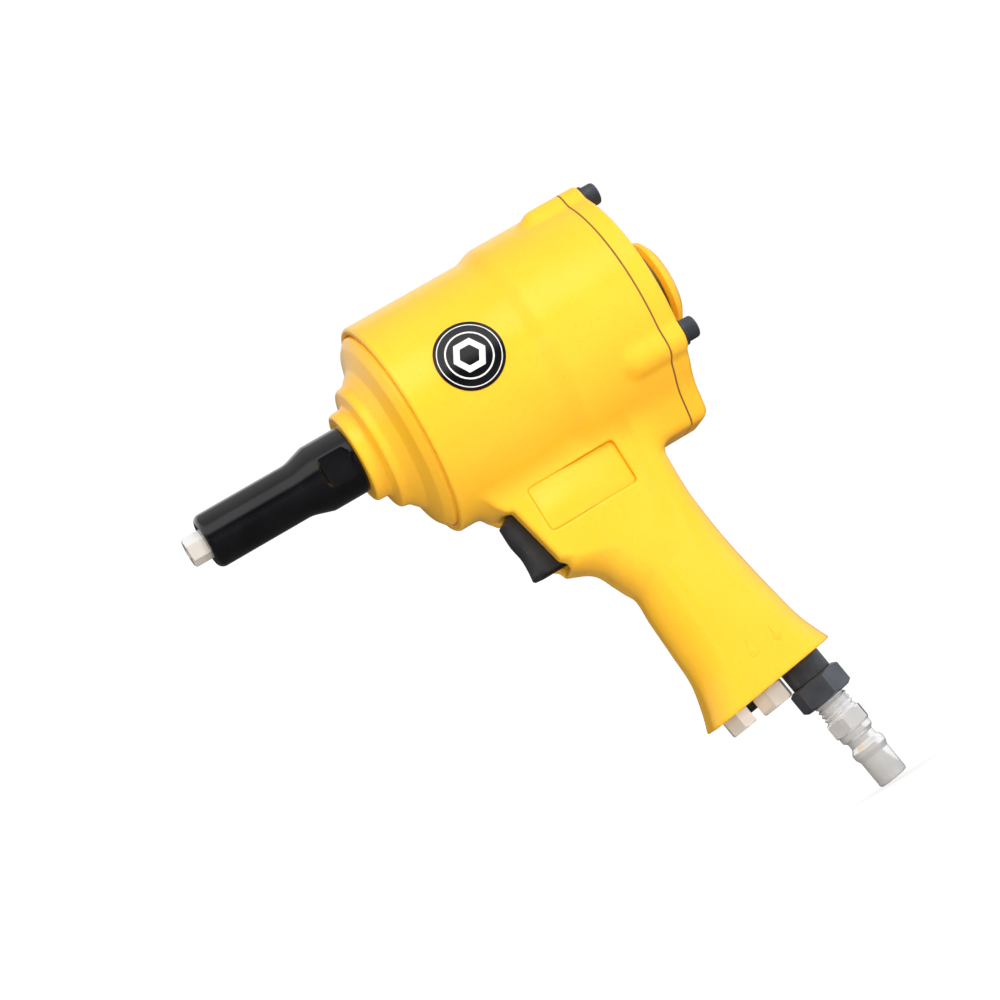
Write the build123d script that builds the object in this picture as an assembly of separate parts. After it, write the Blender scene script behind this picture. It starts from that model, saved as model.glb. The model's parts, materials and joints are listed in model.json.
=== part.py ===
from build123d import *
import os
from math import cos, radians, sin, tan

# Pneumatic rivet gun: a twin-piston cylinder lies along the barrel axis, with a pistol
# grip under it. Millimetres. The origin is the mouth of the nosepiece on the barrel axis.
# +X points out of the nose, +Z is up, +Y is the tool's left side, so the body lies at -X.
# A station is an X position, and the stations run from 0 at the nose to the rear.

# Nose
NOSEPIECE_FLATS = 10.0
MANDREL_BORE_R = 1.6
NOSEPIECE_STEM_R = 4.5
NOSEPIECE_END = -20.0
NOSE_FRONT = -7.0
NOSE_R = 10.5
NOSE_WIDE_R = 13.0
NOSE_CONE = (-45.5, -53.5)
NOSE_BORE_R = 8.7
NOSE_WALL_END = -16.5
NOSE_FLATS = 23.0
NOSE_FLATS_FRONT = -54.5
NOSE_FLATS_BACK = -66.0
NOSE_FLATS_ANGLE = 80.0
NOSE_THREAD_R = 11.0
NOSE_END = -84.0

# Front cap
BOSS_FRONT = -68.2
BOSS_R = 17.6
CAP_STEP = -74.6
SEAM = -88.8
SEAM_R = 39.4
CAP_BACK = -99.5
CAP_INNER_R = 33.0
CAP_INNER_FRONT = -92.0

# Casing
CYLINDER_R = 42.2
REAR_R = 44.6
STEP_FRONT = -136.0
STEP_BACK = -144.1
FRONT_BORE_R = 37.0
REAR_BORE_R = 38.4
BORE_STEP = -134.0
GASKET_FRONT = -179.1
GASKET = 0.5
BOSS_START = -162.0
SCREW_PITCH_R = 41.8
SCREW_BOSS_R = 6.0
SCREW_ANGLES = (28.0, 128.0, -28.0, -128.0)
FOOT_START = -163.0
FOOT_BOTTOM = -53.3
FOOT_TOP = -36.0
FOOT_HALF = 11.6
FOOT_HALF_TOP = 21.9
FOOT_CORNER = 6.0
COVER = 7.6
BADGE_X = -115.7
BADGE_Z = 3.7
BADGE_R = 12.8

# Screws of the rear cover: M5 socket heads
SCREW_R = 2.5
SCREW_HEAD_R = 4.25
SCREW_HEAD = 5.0
SCREW_SOCKET = 4.0
SCREW_GRIP = 16.0
WASHER_R = 5.0
WASHER = 1.0

# Handle: half width of the block behind the trigger and of the grip below it
BLOCK_HALF = 15.6
GRIP_HALF = 16.6
TILT = 7.4
BASE_X = -167.9
BASE_Z = -145.8
PASSAGE_PLUG_X = -137.2
OIL_PLUG_X = -152.2
SET_SCREW_X = -145.0
SET_SCREW_Y = -5.5
GALLERY_Z = -39.8
LABEL_X = -131.3
LABEL_Z = -52.5
LABEL_LENGTH = 35.8
LABEL_HEIGHT = 17.3
DROP_X = -151.6
DROP_Z = -134.6
ARROW_X = -161.7
ARROW_Z = -132.7

# Trigger and valve
PIVOT = (-109.0, -51.5)
PIN_R = 1.6
TRIGGER_HALF = 7.2
SLOT_HALF = 7.6
SLOT_BACK = -122.0
SLOT_TOP = -46.7
SLOT_BOTTOM = -74.8
VALVE_Z = -61.8
VALVE_BORE_R = 6.5
VALVE_BORE_END = -159.5
BUSHING_END = -146.0
STEM_FRONT = -105.3
STEM_R = 2.6

# Pistons
ROD_R = 8.0
ROD_SEAT_R = 7.0
ROD_TIP_R = 6.0
ROD_FRONT = -46.0
LOCK_NUT = 3.0
LOCK_NUT_FLATS = 14.0
FRONT_PISTON = -103.8
PISTON = 11.0
REAR_PISTON = -149.4
RUN_CLEAR = 0.05
PARTITION = 9.0
ROD_END = -165.2
SPACER_R = 10.5
SPRING_R = 18.0
SPRING_WIRE = 2.0
SPRING_TURNS = 3

# Jaws
JAW_CASE_R = 8.2
JAW_CASE_FRONT = -17.6
JAW_CASE_BACK = -50.0
JAW_CONE = 10.0
JAW_FRONT = -20.6
JAW_BACK = -33.0
JAW_OUTER_R = 5.0
JAW_HOLE_R = 1.9
JAW_COUNT = 3
JAW_GAP = 0.8

# Inlet, along its own tilted axis from the base
INLET_THREAD_R = 6.6
INLET_DEPTH = 15.0
COLLAR_R = 8.2
COLLAR = 7.8
ADAPTER_FLATS = 19.0
ADAPTER_HEX = 9.4
PLUG_THREAD_R = 6.5
PLUG_THREAD = 7.4
PLUG_FLATS = 14.0
PLUG_HEX = 6.4
PLUG_BORE_R = 3.2
PLUG_END = 53.6

# Exhaust
HUB_R = 7.0
PLATEAU_R = 16.5
PORT_COUNT = 6
PORT_PITCH_R = 11.6
SILENCER_R = 15.3
DEFLECTOR_R = 17.4
DEFLECTOR_FRONT = -196.8
DEFLECTOR_RIM = -199.9
DEFLECTOR_END = -203.8

REAR_FACE = GASKET_FRONT - GASKET - COVER


def turned(points):
    """Solid of revolution about the barrel axis, from (station, radius, corner) points."""
    corners = [point[:2] for point in points]
    radii = [point[2] if len(point) > 2 else 0.0 for point in points]
    outline = FilletPolyline(*corners, radius=radii, close=True)
    return revolve(Plane.XZ * make_face(outline), axis=Axis.X)


def ring(front, back, outer, inner=0.0):
    """Plain cylinder or tube on the barrel axis."""
    return turned([(front, inner), (front, outer), (back, outer), (back, inner)])


def along_x(front, back, radius, y=0.0, z=0.0):
    """Cylinder parallel to the barrel axis."""
    plane = Plane(origin=(back, y, z), z_dir=(1, 0, 0))
    return plane * Cylinder(radius, front - back, align=(Align.CENTER, Align.CENTER, Align.MIN))


def hex_along_x(front, back, flats, turn=0.0):
    """Hexagonal bar on the barrel axis."""
    plane = Plane(origin=(back, 0, 0), z_dir=(1, 0, 0))
    section = plane * RegularPolygon(flats / 2, 6, major_radius=False, rotation=turn)
    return extrude(section, amount=front - back)


def side_shape(points, half, radii=0.0):
    """Plate with the given side outline, as wide as half to each side of the middle."""
    outline = FilletPolyline(*points, radius=radii, close=True)
    return extrude(Plane.XZ * make_face(outline), amount=half, both=True)


def base_plane(x, y=0.0):
    """Plane on the tilted base of the handle, with its normal pointing down and out."""
    z = BASE_Z + tan(radians(TILT)) * (BASE_X - x)
    normal = (-sin(radians(TILT)), 0, -cos(radians(TILT)))
    return Plane(origin=(x, y, z), x_dir=(0, 1, 0), z_dir=normal)


def on_base(plane, start, end, radius):
    """Cylinder square to the base, from one depth to another below it."""
    body = Cylinder(radius, end - start, align=(Align.CENTER, Align.CENTER, Align.MIN))
    return plane * Pos(0, 0, start) * body


def hex_on_base(plane, start, end, flats, turn=0.0):
    """Hexagonal bar square to the base, with its far edges chamfered."""
    section = RegularPolygon(flats / 2, 6, major_radius=False, rotation=turn)
    bar = extrude(section, amount=end - start)
    crown = Cone(flats / 2 * 1.3, flats / 2 * 0.97, flats * 0.165,
                 align=(Align.CENTER, Align.CENTER, Align.MAX))
    crown = Pos(0, 0, end - start) * crown
    shank = Cylinder(flats, end - start - flats * 0.165,
                     align=(Align.CENTER, Align.CENTER, Align.MIN))
    return plane * Pos(0, 0, start) * (bar & (crown + shank))


def coil(start, end, radius, wire, turns, z=0.0):
    """Compression spring along X, from its rear end forward."""
    length = end - start
    pitch = (length - wire) / turns
    path = Helix(pitch, length - wire, radius)
    section = Plane(origin=path @ 0, z_dir=path % 0) * Circle(wire / 2)
    spring = sweep(section, path=path, is_frenet=True)
    return Plane(origin=(start + wire / 2, 0, z), z_dir=(1, 0, 0)) * spring


def foot_outline():
    """Tapered foot that joins the rear of the casing to the handle."""
    inside = FOOT_TOP + 10
    corners = [
        (-FOOT_HALF_TOP, inside), (-FOOT_HALF_TOP, FOOT_TOP), (-FOOT_HALF, FOOT_BOTTOM),
        (FOOT_HALF, FOOT_BOTTOM), (FOOT_HALF_TOP, FOOT_TOP), (FOOT_HALF_TOP, inside),
    ]
    radii = [0, 0, FOOT_CORNER, FOOT_CORNER, 0, 0]
    return make_face(FilletPolyline(*corners, radius=radii, close=True))


def cover_outline():
    """Lobed outline shared by the rear of the casing, the gasket and the rear cover."""
    outline = Circle(REAR_R) + foot_outline()
    for angle in SCREW_ANGLES:
        spoke = Rot(0, 0, -angle) * Pos(0, SCREW_PITCH_R - SCREW_BOSS_R)
        outline += spoke * Rectangle(2 * SCREW_BOSS_R, 2 * SCREW_BOSS_R)
        outline += spoke * Pos(0, SCREW_BOSS_R) * Circle(SCREW_BOSS_R)
    return outline


def across(section, front, back):
    """Outline across the barrel axis, extruded between two stations."""
    plane = Plane(origin=(back, 0, 0), x_dir=(0, 1, 0), z_dir=(1, 0, 0))
    return extrude(plane * section, amount=front - back)


def screw_spots():
    """Y and Z of each screw of the rear cover."""
    spots = []
    for angle in SCREW_ANGLES:
        spots.append((SCREW_PITCH_R * sin(radians(angle)), SCREW_PITCH_R * cos(radians(angle))))
    return spots


def screw_bosses():
    """The lobes run forward along the casing and end in sloping noses."""
    bosses = Part()
    nose_length = 4.0
    for y, z in screw_spots():
        bosses += along_x(BOSS_START - nose_length, GASKET_FRONT, SCREW_BOSS_R, y, z)
        nose = Cone(SCREW_BOSS_R, 2.0, nose_length, align=(Align.CENTER, Align.CENTER, Align.MIN))
        bosses += Plane(origin=(BOSS_START - nose_length, y, z), z_dir=(1, 0, 0)) * nose
    return bosses


def grip():
    """Rear of the block and the grip under it: rounded sections down past the base."""
    stations = [
        # height, front, rear, half width, corner
        (-36.0, -129.5, -166.3, BLOCK_HALF, 7.0),
        (-56.0, -129.0, -165.3, BLOCK_HALF, 7.0),
        (-74.5, -126.5, -165.2, BLOCK_HALF, 9.0),
        (-84.5, -126.1, -166.9, BLOCK_HALF + 0.2, 11.0),
        (-94.5, -129.6, -168.6, BLOCK_HALF + 0.6, 13.0),
        (-106.5, -129.6, -170.7, GRIP_HALF, 14.5),
        (-120.5, -130.2, -173.6, GRIP_HALF + 0.1, 14.5),
        (-133.4, -130.5, -176.6, GRIP_HALF + 0.3, 14.0),
        (-142.3, -128.9, -180.0, GRIP_HALF + 0.5, 13.0),
        (-155.2, -125.4, -186.5, GRIP_HALF + 0.9, 12.0),
    ]
    sections = []
    for z, front, rear, half, corner in stations:
        section = RectangleRounded(front - rear, 2 * half, corner)
        sections.append(Pos((front + rear) / 2, 0, z) * section)
    return loft(sections)


def block():
    """Flat-sided block behind the trigger, with the chin under it."""
    outline = [
        (-100.1, -20.0), (-100.1, -43.3), (-102.7, -46.9), (-105.3, -47.9), (-110.6, -71.2),
        (-112.8, -73.3), (-113.1, -76.3), (-118.8, -79.0), (-125.2, -82.3), (-129.4, -88.0),
        (-146.0, -82.0), (-146.0, -20.0),
    ]
    radii = [0, 3.0, 0.8, 0.6, 0.8, 0.8, 1.0, 6.0, 5.0, 0, 0, 0]
    body = side_shape(outline, BLOCK_HALF, radii)
    chin = body.edges().filter_by(
        lambda edge: edge.center().Z < -76.9 and edge.center().X > -128.4 and abs(edge.center().Y) > 15)
    return fillet(chin, 0.9)


def handle():
    """Block and grip, cut square by the tilted base."""
    shape = block() + grip()
    below = base_plane(BASE_X) * Box(200, 200, 60, align=(Align.CENTER, Align.CENTER, Align.MIN))
    return shape - below


def trigger_slot():
    """Slot for the trigger, open at the front and closed by the chin."""
    outline = [
        (-90.0, SLOT_TOP), (SLOT_BACK, SLOT_TOP), (SLOT_BACK, SLOT_BOTTOM), (-90.0, SLOT_BOTTOM),
    ]
    return side_shape(outline, SLOT_HALF)


def air_passages():
    """Valve bore, inlet drilling, and the gallery that feeds the front chamber."""
    inlet = base_plane(BASE_X)
    cut = along_x(SLOT_BACK + 0.5, VALVE_BORE_END, VALVE_BORE_R, z=VALVE_Z)
    cut += on_base(inlet, -INLET_DEPTH, 1, INLET_THREAD_R)
    cut += on_base(inlet, -86, 0, 3.6)
    riser = Cylinder(2.2, GALLERY_Z - VALVE_Z, align=(Align.CENTER, Align.CENTER, Align.MIN))
    cut += Pos(-127.0, 0, VALVE_Z) * riser
    return cut + along_x(CAP_BACK + 1, -129.0, 1.8, z=GALLERY_Z)


def base_ports():
    """Threaded holes of the two hexagon plugs and the set screw."""
    cut = on_base(base_plane(PASSAGE_PLUG_X), -9, 1, 3.5)
    cut += on_base(base_plane(OIL_PLUG_X), -11, 1, 4.5)
    cut += on_base(base_plane(SET_SCREW_X, SET_SCREW_Y), -8, 1, 2.5)
    return cut


def label_recess():
    """Shallow rounded panel on the left side of the block."""
    panel = RectangleRounded(LABEL_LENGTH, LABEL_HEIGHT, 1.6)
    return Pos(0, BLOCK_HALF + 0.65, 0) * extrude(Plane.XZ * Pos(LABEL_X, LABEL_Z) * panel, amount=1)


def oil_mark():
    """Raised droplet and arrow near the base: oil goes in at the inlet."""
    drop = Circle(2.3) + make_face(Polyline((-2.0, 1.2), (0, 5.2), (2.0, 1.2), close=True))
    arrow = Rectangle(1.0, 6.0) + Pos(0, -3.6) * make_face(
        Polyline((-2.2, 0.6), (2.2, 0.6), (0, -2.6), close=True))
    sketch = Pos(DROP_X, DROP_Z) * Rot(0, 0, TILT) * drop
    sketch += Pos(ARROW_X, ARROW_Z) * Rot(0, 0, TILT) * arrow
    return Pos(0, GRIP_HALF + 0.75, 0) * extrude(Plane.XZ * sketch, amount=0.9)


def main_casing():
    """Cylinder casing and handle, one casting."""
    barrel = turned([
        (SEAM, 30.0), (SEAM, SEAM_R), (SEAM + 0.4, SEAM_R + 0.3, 0.2),
        (SEAM + 0.4, CYLINDER_R, 2.2), (STEP_FRONT, CYLINDER_R, 12.0), (STEP_BACK, REAR_R, 12.0),
        (GASKET_FRONT, REAR_R), (GASKET_FRONT, 30.0),
    ])
    body = barrel + ring(SEAM, GASKET_FRONT, 31.0) + screw_bosses()
    body += across(foot_outline(), FOOT_START, GASKET_FRONT) + handle()
    body -= ring(SEAM + 2, CAP_BACK, SEAM_R)
    body -= ring(CAP_BACK + 1, BORE_STEP - 1, FRONT_BORE_R)
    body -= ring(BORE_STEP, GASKET_FRONT - 1, REAR_BORE_R)
    groove = BORE_STEP - PARTITION
    body -= ring(groove - 0.1, groove - 1.7, REAR_BORE_R + 1.4, REAR_BORE_R - 1)
    for y, z in screw_spots():
        body -= along_x(GASKET_FRONT + SCREW_GRIP - COVER, GASKET_FRONT - 1, SCREW_R, y, z)
    body -= trigger_slot() + air_passages() + base_ports()
    body -= Plane(origin=(PIVOT[0], -BLOCK_HALF - 1, PIVOT[1]), z_dir=(0, 1, 0)) * Cylinder(
        PIN_R, BLOCK_HALF + SLOT_HALF + 5.0, align=(Align.CENTER, Align.CENTER, Align.MIN))
    body -= label_recess()
    return body + oil_mark()


def front_cap():
    """Bell-shaped front cap, screwed into the mouth of the casing."""
    cap = turned([
        (BOSS_FRONT, NOSE_THREAD_R), (BOSS_FRONT, BOSS_R, 1.2), (CAP_STEP + 0.6, BOSS_R + 0.2, 1.2),
        (CAP_STEP, 23.8, 1.2), (-78.0, 24.4, 3.0), (-82.2, 28.6, 2.5), (-84.6, 36.0, 4.0),
        (-86.9, 38.7, 1.2), (SEAM, SEAM_R - 0.05), (CAP_BACK, SEAM_R - 0.05),
        (CAP_BACK, CAP_INNER_R), (CAP_INNER_FRONT, CAP_INNER_R, 2.0), (CAP_INNER_FRONT, 15.0, 2.0),
        (CAP_BACK, 14.0, 1.0), (CAP_BACK, ROD_R + RUN_CLEAR), (NOSE_END - 0.4, ROD_R + RUN_CLEAR),
        (NOSE_END - 0.4, NOSE_THREAD_R),
    ])
    cap -= ring(-95.0, -97.6, SEAM_R + 1, SEAM_R - 2.0)
    return cap - ring(-92.0, -94.6, ROD_R + 2.2, ROD_R - 1)


def nose_housing():
    """Long steel housing of the jaw case, with one pair of spanner flats."""
    body = turned([
        (NOSE_FRONT, NOSEPIECE_STEM_R), (NOSE_FRONT, NOSE_R, 3.6), (NOSE_CONE[0], NOSE_R, 8.0),
        (NOSE_CONE[1], NOSE_WIDE_R, 3.0), (BOSS_FRONT, NOSE_WIDE_R), (BOSS_FRONT, NOSE_THREAD_R),
        (NOSE_END, NOSE_THREAD_R), (NOSE_END, NOSE_BORE_R), (NOSE_WALL_END, NOSE_BORE_R),
        (NOSE_WALL_END, NOSEPIECE_STEM_R),
    ])
    middle = (NOSE_FLATS_FRONT + NOSE_FLATS_BACK) / 2
    length = NOSE_FLATS_FRONT - NOSE_FLATS_BACK
    for side in (1, -1):
        slab = Pos(middle, 0, side * (NOSE_FLATS / 2 + 5)) * Box(length, 40, 10)
        body -= Rot(NOSE_FLATS_ANGLE, 0, 0) * slab
    return body


def nosepiece():
    """Hexagon nosepiece with the mandrel bore and the cone that opens the jaws."""
    head = hex_along_x(0, NOSE_FRONT, NOSEPIECE_FLATS, 15)
    crown = turned([(0, 0), (0, 4.4), (-0.8, 5.9), (NOSE_FRONT, 5.9), (NOSE_FRONT, 0)])
    stem = turned([
        (NOSE_FRONT, 0), (NOSE_FRONT, NOSEPIECE_STEM_R), (-16.5, NOSEPIECE_STEM_R),
        (-17.0, 3.6), (NOSEPIECE_END, 2.6), (NOSEPIECE_END, 0),
    ])
    return (head & crown) + stem - ring(1, NOSEPIECE_END - 1, MANDREL_BORE_R)


def jaw_case():
    """Tube with an inner cone that squeezes the jaws as they slide forward."""
    slope = tan(radians(JAW_CONE))
    cone_r = JAW_OUTER_R + 0.15
    return turned([
        (JAW_CASE_FRONT, cone_r - 0.6), (JAW_CASE_FRONT, JAW_CASE_R, 0.8), (JAW_CASE_BACK, JAW_CASE_R),
        (JAW_CASE_BACK, ROD_TIP_R), (ROD_FRONT, ROD_TIP_R), (ROD_FRONT, 7.2), (-34.0, 7.2),
        (JAW_BACK + 0.4, cone_r + slope * (JAW_FRONT - JAW_BACK - 0.4)), (JAW_FRONT, cone_r),
        (JAW_FRONT + 1.6, cone_r - 0.3), (JAW_FRONT + 1.6, cone_r - 0.6),
    ])


def jaw(index):
    """One jaw: a third of a cone, toothed along the mandrel hole."""
    slope = tan(radians(JAW_CONE))
    cone = turned([
        (JAW_FRONT, JAW_HOLE_R + 0.4), (JAW_FRONT, JAW_OUTER_R),
        (JAW_BACK, JAW_OUTER_R + slope * (JAW_FRONT - JAW_BACK)), (JAW_BACK, JAW_HOLE_R + 1.6),
        (JAW_BACK + 1.6, JAW_HOLE_R), (JAW_FRONT - 0.4, JAW_HOLE_R),
    ])
    for tooth in range(9):
        front = JAW_FRONT - 1.4 - tooth
        back = front - 0.6
        cone -= turned([(front, 0), (front, JAW_HOLE_R + 0.3), (back, JAW_HOLE_R), (back, 0)])
    half = 180.0 / JAW_COUNT
    reach = 20.0
    wedge = make_face(Polyline(
        (0, 0), (reach * cos(radians(half)), reach * sin(radians(half))), (reach * 2, 0),
        (reach * cos(radians(half)), -reach * sin(radians(half))), close=True))
    wedge = Pos(JAW_GAP / 2 / sin(radians(half)), 0) * wedge
    plane = Plane(origin=(JAW_BACK - 1, 0, 0), x_dir=(0, 0, 1), z_dir=(1, 0, 0))
    sector = extrude(plane * Rot(0, 0, index * 360 / JAW_COUNT) * wedge, amount=20)
    return cone & sector


def jaw_pusher():
    """Spring-loaded pusher behind the jaws."""
    return turned([
        (JAW_BACK - 0.3, 2.4), (JAW_BACK - 0.3, 4.6), (-36.5, 6.9), (-38.5, 6.9), (-38.5, 4.4),
        (-44.0, 4.4), (-44.0, 2.4),
    ])


def draw_rod():
    """Rod that carries both pistons and pulls the jaw case."""
    rod = turned([
        (ROD_FRONT, 0), (ROD_FRONT, ROD_TIP_R), (JAW_CASE_BACK - LOCK_NUT - 0.5, ROD_TIP_R),
        (JAW_CASE_BACK - LOCK_NUT - 2.0, ROD_R),
        (FRONT_PISTON, ROD_R), (FRONT_PISTON, ROD_SEAT_R), (ROD_END, ROD_SEAT_R, 1.0), (ROD_END, 0),
    ])
    return rod - ring(-45, -98.0, 2.4)


def jaw_lock_nut():
    """Thin nut that locks the jaw case on the rod."""
    nut = hex_along_x(JAW_CASE_BACK, JAW_CASE_BACK - LOCK_NUT, LOCK_NUT_FLATS)
    return nut - ring(JAW_CASE_BACK + 1, JAW_CASE_BACK - LOCK_NUT - 1, ROD_TIP_R)


def piston(front):
    """Aluminium piston with a seal groove and lightening recesses."""
    back = front - PISTON
    outer = FRONT_BORE_R - 0.3 if front == FRONT_PISTON else REAR_BORE_R - 0.3
    body = turned([
        (front, ROD_SEAT_R), (front, 14.0, 1.0), (front - 2.5, 16.0, 1.5), (front - 2.5, outer - 5, 1.5),
        (front, outer - 3.0, 1.0), (front, outer, 0.8), (back, outer, 0.8), (back, outer - 3.0, 1.0),
        (back + 3.5, outer - 5, 1.5), (back + 3.5, ROD_SEAT_R),
    ])
    middle = front - PISTON / 2
    return body - ring(middle + 1.6, middle - 1.6, outer + 1, outer - 3.2)


def piston_seal(front):
    """Lip ring in the piston's groove, running on the bore."""
    bore = FRONT_BORE_R if front == FRONT_PISTON else REAR_BORE_R
    middle = front - PISTON / 2
    inner = bore - 0.3 - 3.2
    return turned([
        (middle + 1.5, inner), (middle + 1.5, bore - RUN_CLEAR, 0.4),
        (middle - 1.5, bore - RUN_CLEAR, 0.4), (middle - 1.5, inner),
    ])


def return_spring():
    """Spring between the rear cover and the rear piston."""
    start = GASKET_FRONT - GASKET
    return coil(start, REAR_PISTON - PISTON + 3.5, SPRING_R, SPRING_WIRE, SPRING_TURNS)


def piston_spacer():
    """Sleeve between the pistons, running through the partition."""
    return ring(FRONT_PISTON - PISTON + 3.5, REAR_PISTON, SPACER_R, ROD_SEAT_R)


def partition():
    """Wall between the two chambers, with its outer and inner seal grooves."""
    front = BORE_STEP
    back = BORE_STEP - PARTITION
    wall = turned([
        (front, SPACER_R + RUN_CLEAR), (front, 17.0, 1.0), (front - 2.0, 19.0, 1.0),
        (front - 2.0, 31.0, 1.0), (front, 33.0, 1.0), (front, REAR_BORE_R - 0.02),
        (back, REAR_BORE_R - 0.02), (back, SPACER_R + RUN_CLEAR),
    ])
    wall -= ring(front - 3.2, front - 5.8, REAR_BORE_R + 1, REAR_BORE_R - 2.0)
    return wall - ring(front - 3.2, front - 5.8, 12.7, 9.0)


def groove_ring(middle, outer, inner):
    """Sealing ring in a groove, a little narrower than the groove."""
    return turned([
        (middle + 1.2, inner, 0.5), (middle + 1.2, outer, 0.5), (middle - 1.2, outer, 0.5),
        (middle - 1.2, inner, 0.5),
    ])


def snap_ring():
    """Open spring ring that holds the partition."""
    back = BORE_STEP - PARTITION
    body = ring(back - 0.15, back - 1.6, REAR_BORE_R + 1.3, REAR_BORE_R - 2.4)
    return body - Pos(back - 1, 0, REAR_BORE_R) * Box(4, 12, 12)


def rod_nut():
    """Hexagon nut behind the rear piston."""
    front = REAR_PISTON - PISTON + 3.5
    return hex_along_x(front, front - 8, 22) - ring(front + 1, front - 9, ROD_SEAT_R)


def rear_cover():
    """Lobed cover with the exhaust ports and the hub of the deflector."""
    body = across(cover_outline(), GASKET_FRONT - GASKET, REAR_FACE)
    rim = body.edges().filter_by(lambda edge: abs(edge.center().X - REAR_FACE) < 0.01)
    body = fillet(rim, 1.4)
    body += ring(REAR_FACE + 0.5, DEFLECTOR_FRONT + 0.4, HUB_R)
    body += ring(REAR_FACE + 0.5, REAR_FACE - 1.6, PLATEAU_R)
    for y, z in screw_spots():
        body -= along_x(GASKET_FRONT + 1, REAR_FACE - 1, SCREW_R, y, z)
        body -= along_x(REAR_FACE + 0.01, REAR_FACE - 3, WASHER_R + 0.6, y, z)
    for index in range(PORT_COUNT):
        angle = radians(360 / PORT_COUNT * (index + 0.5))
        y = PORT_PITCH_R * cos(angle)
        z = PORT_PITCH_R * sin(angle)
        body -= along_x(GASKET_FRONT + 1, REAR_FACE - 2, 2.4, y, z)
    return body - ring(GASKET_FRONT + 3, DEFLECTOR_END, 3.0)


def rear_gasket():
    """Thin gasket between the casing and the rear cover."""
    sheet = across(cover_outline(), GASKET_FRONT, GASKET_FRONT - GASKET)
    sheet -= ring(GASKET_FRONT + 1, GASKET_FRONT - 2, REAR_BORE_R)
    for y, z in screw_spots():
        sheet -= along_x(GASKET_FRONT + 1, GASKET_FRONT - 2, SCREW_R, y, z)
    return sheet


def cover_screws():
    """Socket head screws, one in each lobe of the cover."""
    screws = []
    tip = GASKET_FRONT + SCREW_GRIP - COVER - 1
    under_head = REAR_FACE - WASHER
    for y, z in screw_spots():
        screw = along_x(tip, under_head, SCREW_R, y, z)
        head = along_x(under_head, under_head - SCREW_HEAD, SCREW_HEAD_R, y, z)
        rim = head.edges().filter_by(lambda edge: abs(edge.center().X - under_head + SCREW_HEAD) < 0.01)
        head = fillet(rim, 0.5)
        plane = Plane(origin=(under_head - SCREW_HEAD - 1, y, z), z_dir=(1, 0, 0))
        socket = extrude(plane * RegularPolygon(SCREW_SOCKET / 2, 6, major_radius=False), amount=3.5)
        screws.append(screw + head - socket)
    return Compound(children=screws)


def cover_washers():
    """Washer under each screw head."""
    washers = []
    for y, z in screw_spots():
        washer = along_x(REAR_FACE, REAR_FACE - WASHER, WASHER_R, y, z)
        washers.append(washer - along_x(REAR_FACE + 1, REAR_FACE - 2, SCREW_R, y, z))
    return Compound(children=washers)


def exhaust_silencer():
    """Porous ring over the exhaust ports."""
    return ring(REAR_FACE - 1.6, DEFLECTOR_FRONT + 0.1, SILENCER_R, 8.0)


def exhaust_deflector():
    """Domed disc with a skirt over a third of its rim, turned by hand on the hub."""
    disc = turned([
        (DEFLECTOR_FRONT, 3.3), (DEFLECTOR_FRONT, DEFLECTOR_R, 0.8), (DEFLECTOR_RIM, DEFLECTOR_R, 1.4),
        (DEFLECTOR_RIM - 2.0, 14.2, 6.0), (DEFLECTOR_END, 8.0, 3.0), (DEFLECTOR_END, 6.2),
        (DEFLECTOR_END + 2.4, 6.2), (DEFLECTOR_END + 2.4, 3.3),
    ])
    skirt = ring(DEFLECTOR_FRONT - 0.5, REAR_FACE - 2.2, DEFLECTOR_R - 0.2, DEFLECTOR_R - 1.8)
    return disc + (skirt & Pos(DEFLECTOR_FRONT, -DEFLECTOR_R - 4, 0) * Box(30, 20, 60))


def deflector_screw():
    """Low-headed screw that holds the deflector, with a hexagon socket."""
    under_head = DEFLECTOR_END + 2.2
    screw = ring(-184, under_head, 3.0)
    head = turned([
        (under_head, 0), (under_head, 5.4), (under_head - 2.6, 4.6, 1.0), (under_head - 2.6, 0),
    ])
    return screw + head - hex_along_x(under_head + 0.2, under_head - 4, 4.0)


def badge_plate():
    """Round plate bent to the cylinder, on the left side."""
    disc = Plane(origin=(BADGE_X, 30, BADGE_Z), z_dir=(0, 1, 0)) * Cylinder(
        BADGE_R, 30, align=(Align.CENTER, Align.CENTER, Align.MIN))
    return disc & ring(BADGE_X + 20, BADGE_X - 20, CYLINDER_R + 0.5, CYLINDER_R)


def trigger():
    """Hollow trigger with a hollowed finger face, hinged near its top."""
    front = [(-100.6, -48.1), (-100.8, -56.3), (-101.8, -62.3), (-101.7, -67.3), (-101.1, -72.3)]
    back = [(-116.9, -72.4), (-116.9, -66.9), (-112.3, -48.3), (-102.6, -47.2)]
    face = Spline(*[Vector(x, z) for x, z in front])
    outline = face + Polyline(front[-1], *back, front[0])
    solid = extrude(Plane.XZ * make_face(outline), amount=TRIGGER_HALF, both=True)
    inside = [
        (-104.7, -58.3), (-105.0, -66.3), (-104.2, -80.3), (-130.0, -80.3), (-130.0, -56.7),
        (-106.3, -56.7),
    ]
    solid -= side_shape(inside, TRIGGER_HALF - 1.9)
    pin_hole = Plane(origin=(PIVOT[0], -20, PIVOT[1]), z_dir=(0, 1, 0)) * Cylinder(
        PIN_R + RUN_CLEAR, 40, align=(Align.CENTER, Align.CENTER, Align.MIN))
    edges = solid.edges().filter_by(lambda edge: edge.center().X > -102.1 and abs(edge.center().Y) > 7)
    solid = fillet(edges, 1.2)
    return solid - pin_hole


def trigger_pin():
    """Pivot pin, pressed in from the right side into a blind hole."""
    length = BLOCK_HALF + SLOT_HALF + 3.0
    return Plane(origin=(PIVOT[0], -BLOCK_HALF + 0.4, PIVOT[1]), z_dir=(0, 1, 0)) * Cylinder(
        PIN_R, length, align=(Align.CENTER, Align.CENTER, Align.MIN))


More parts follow.
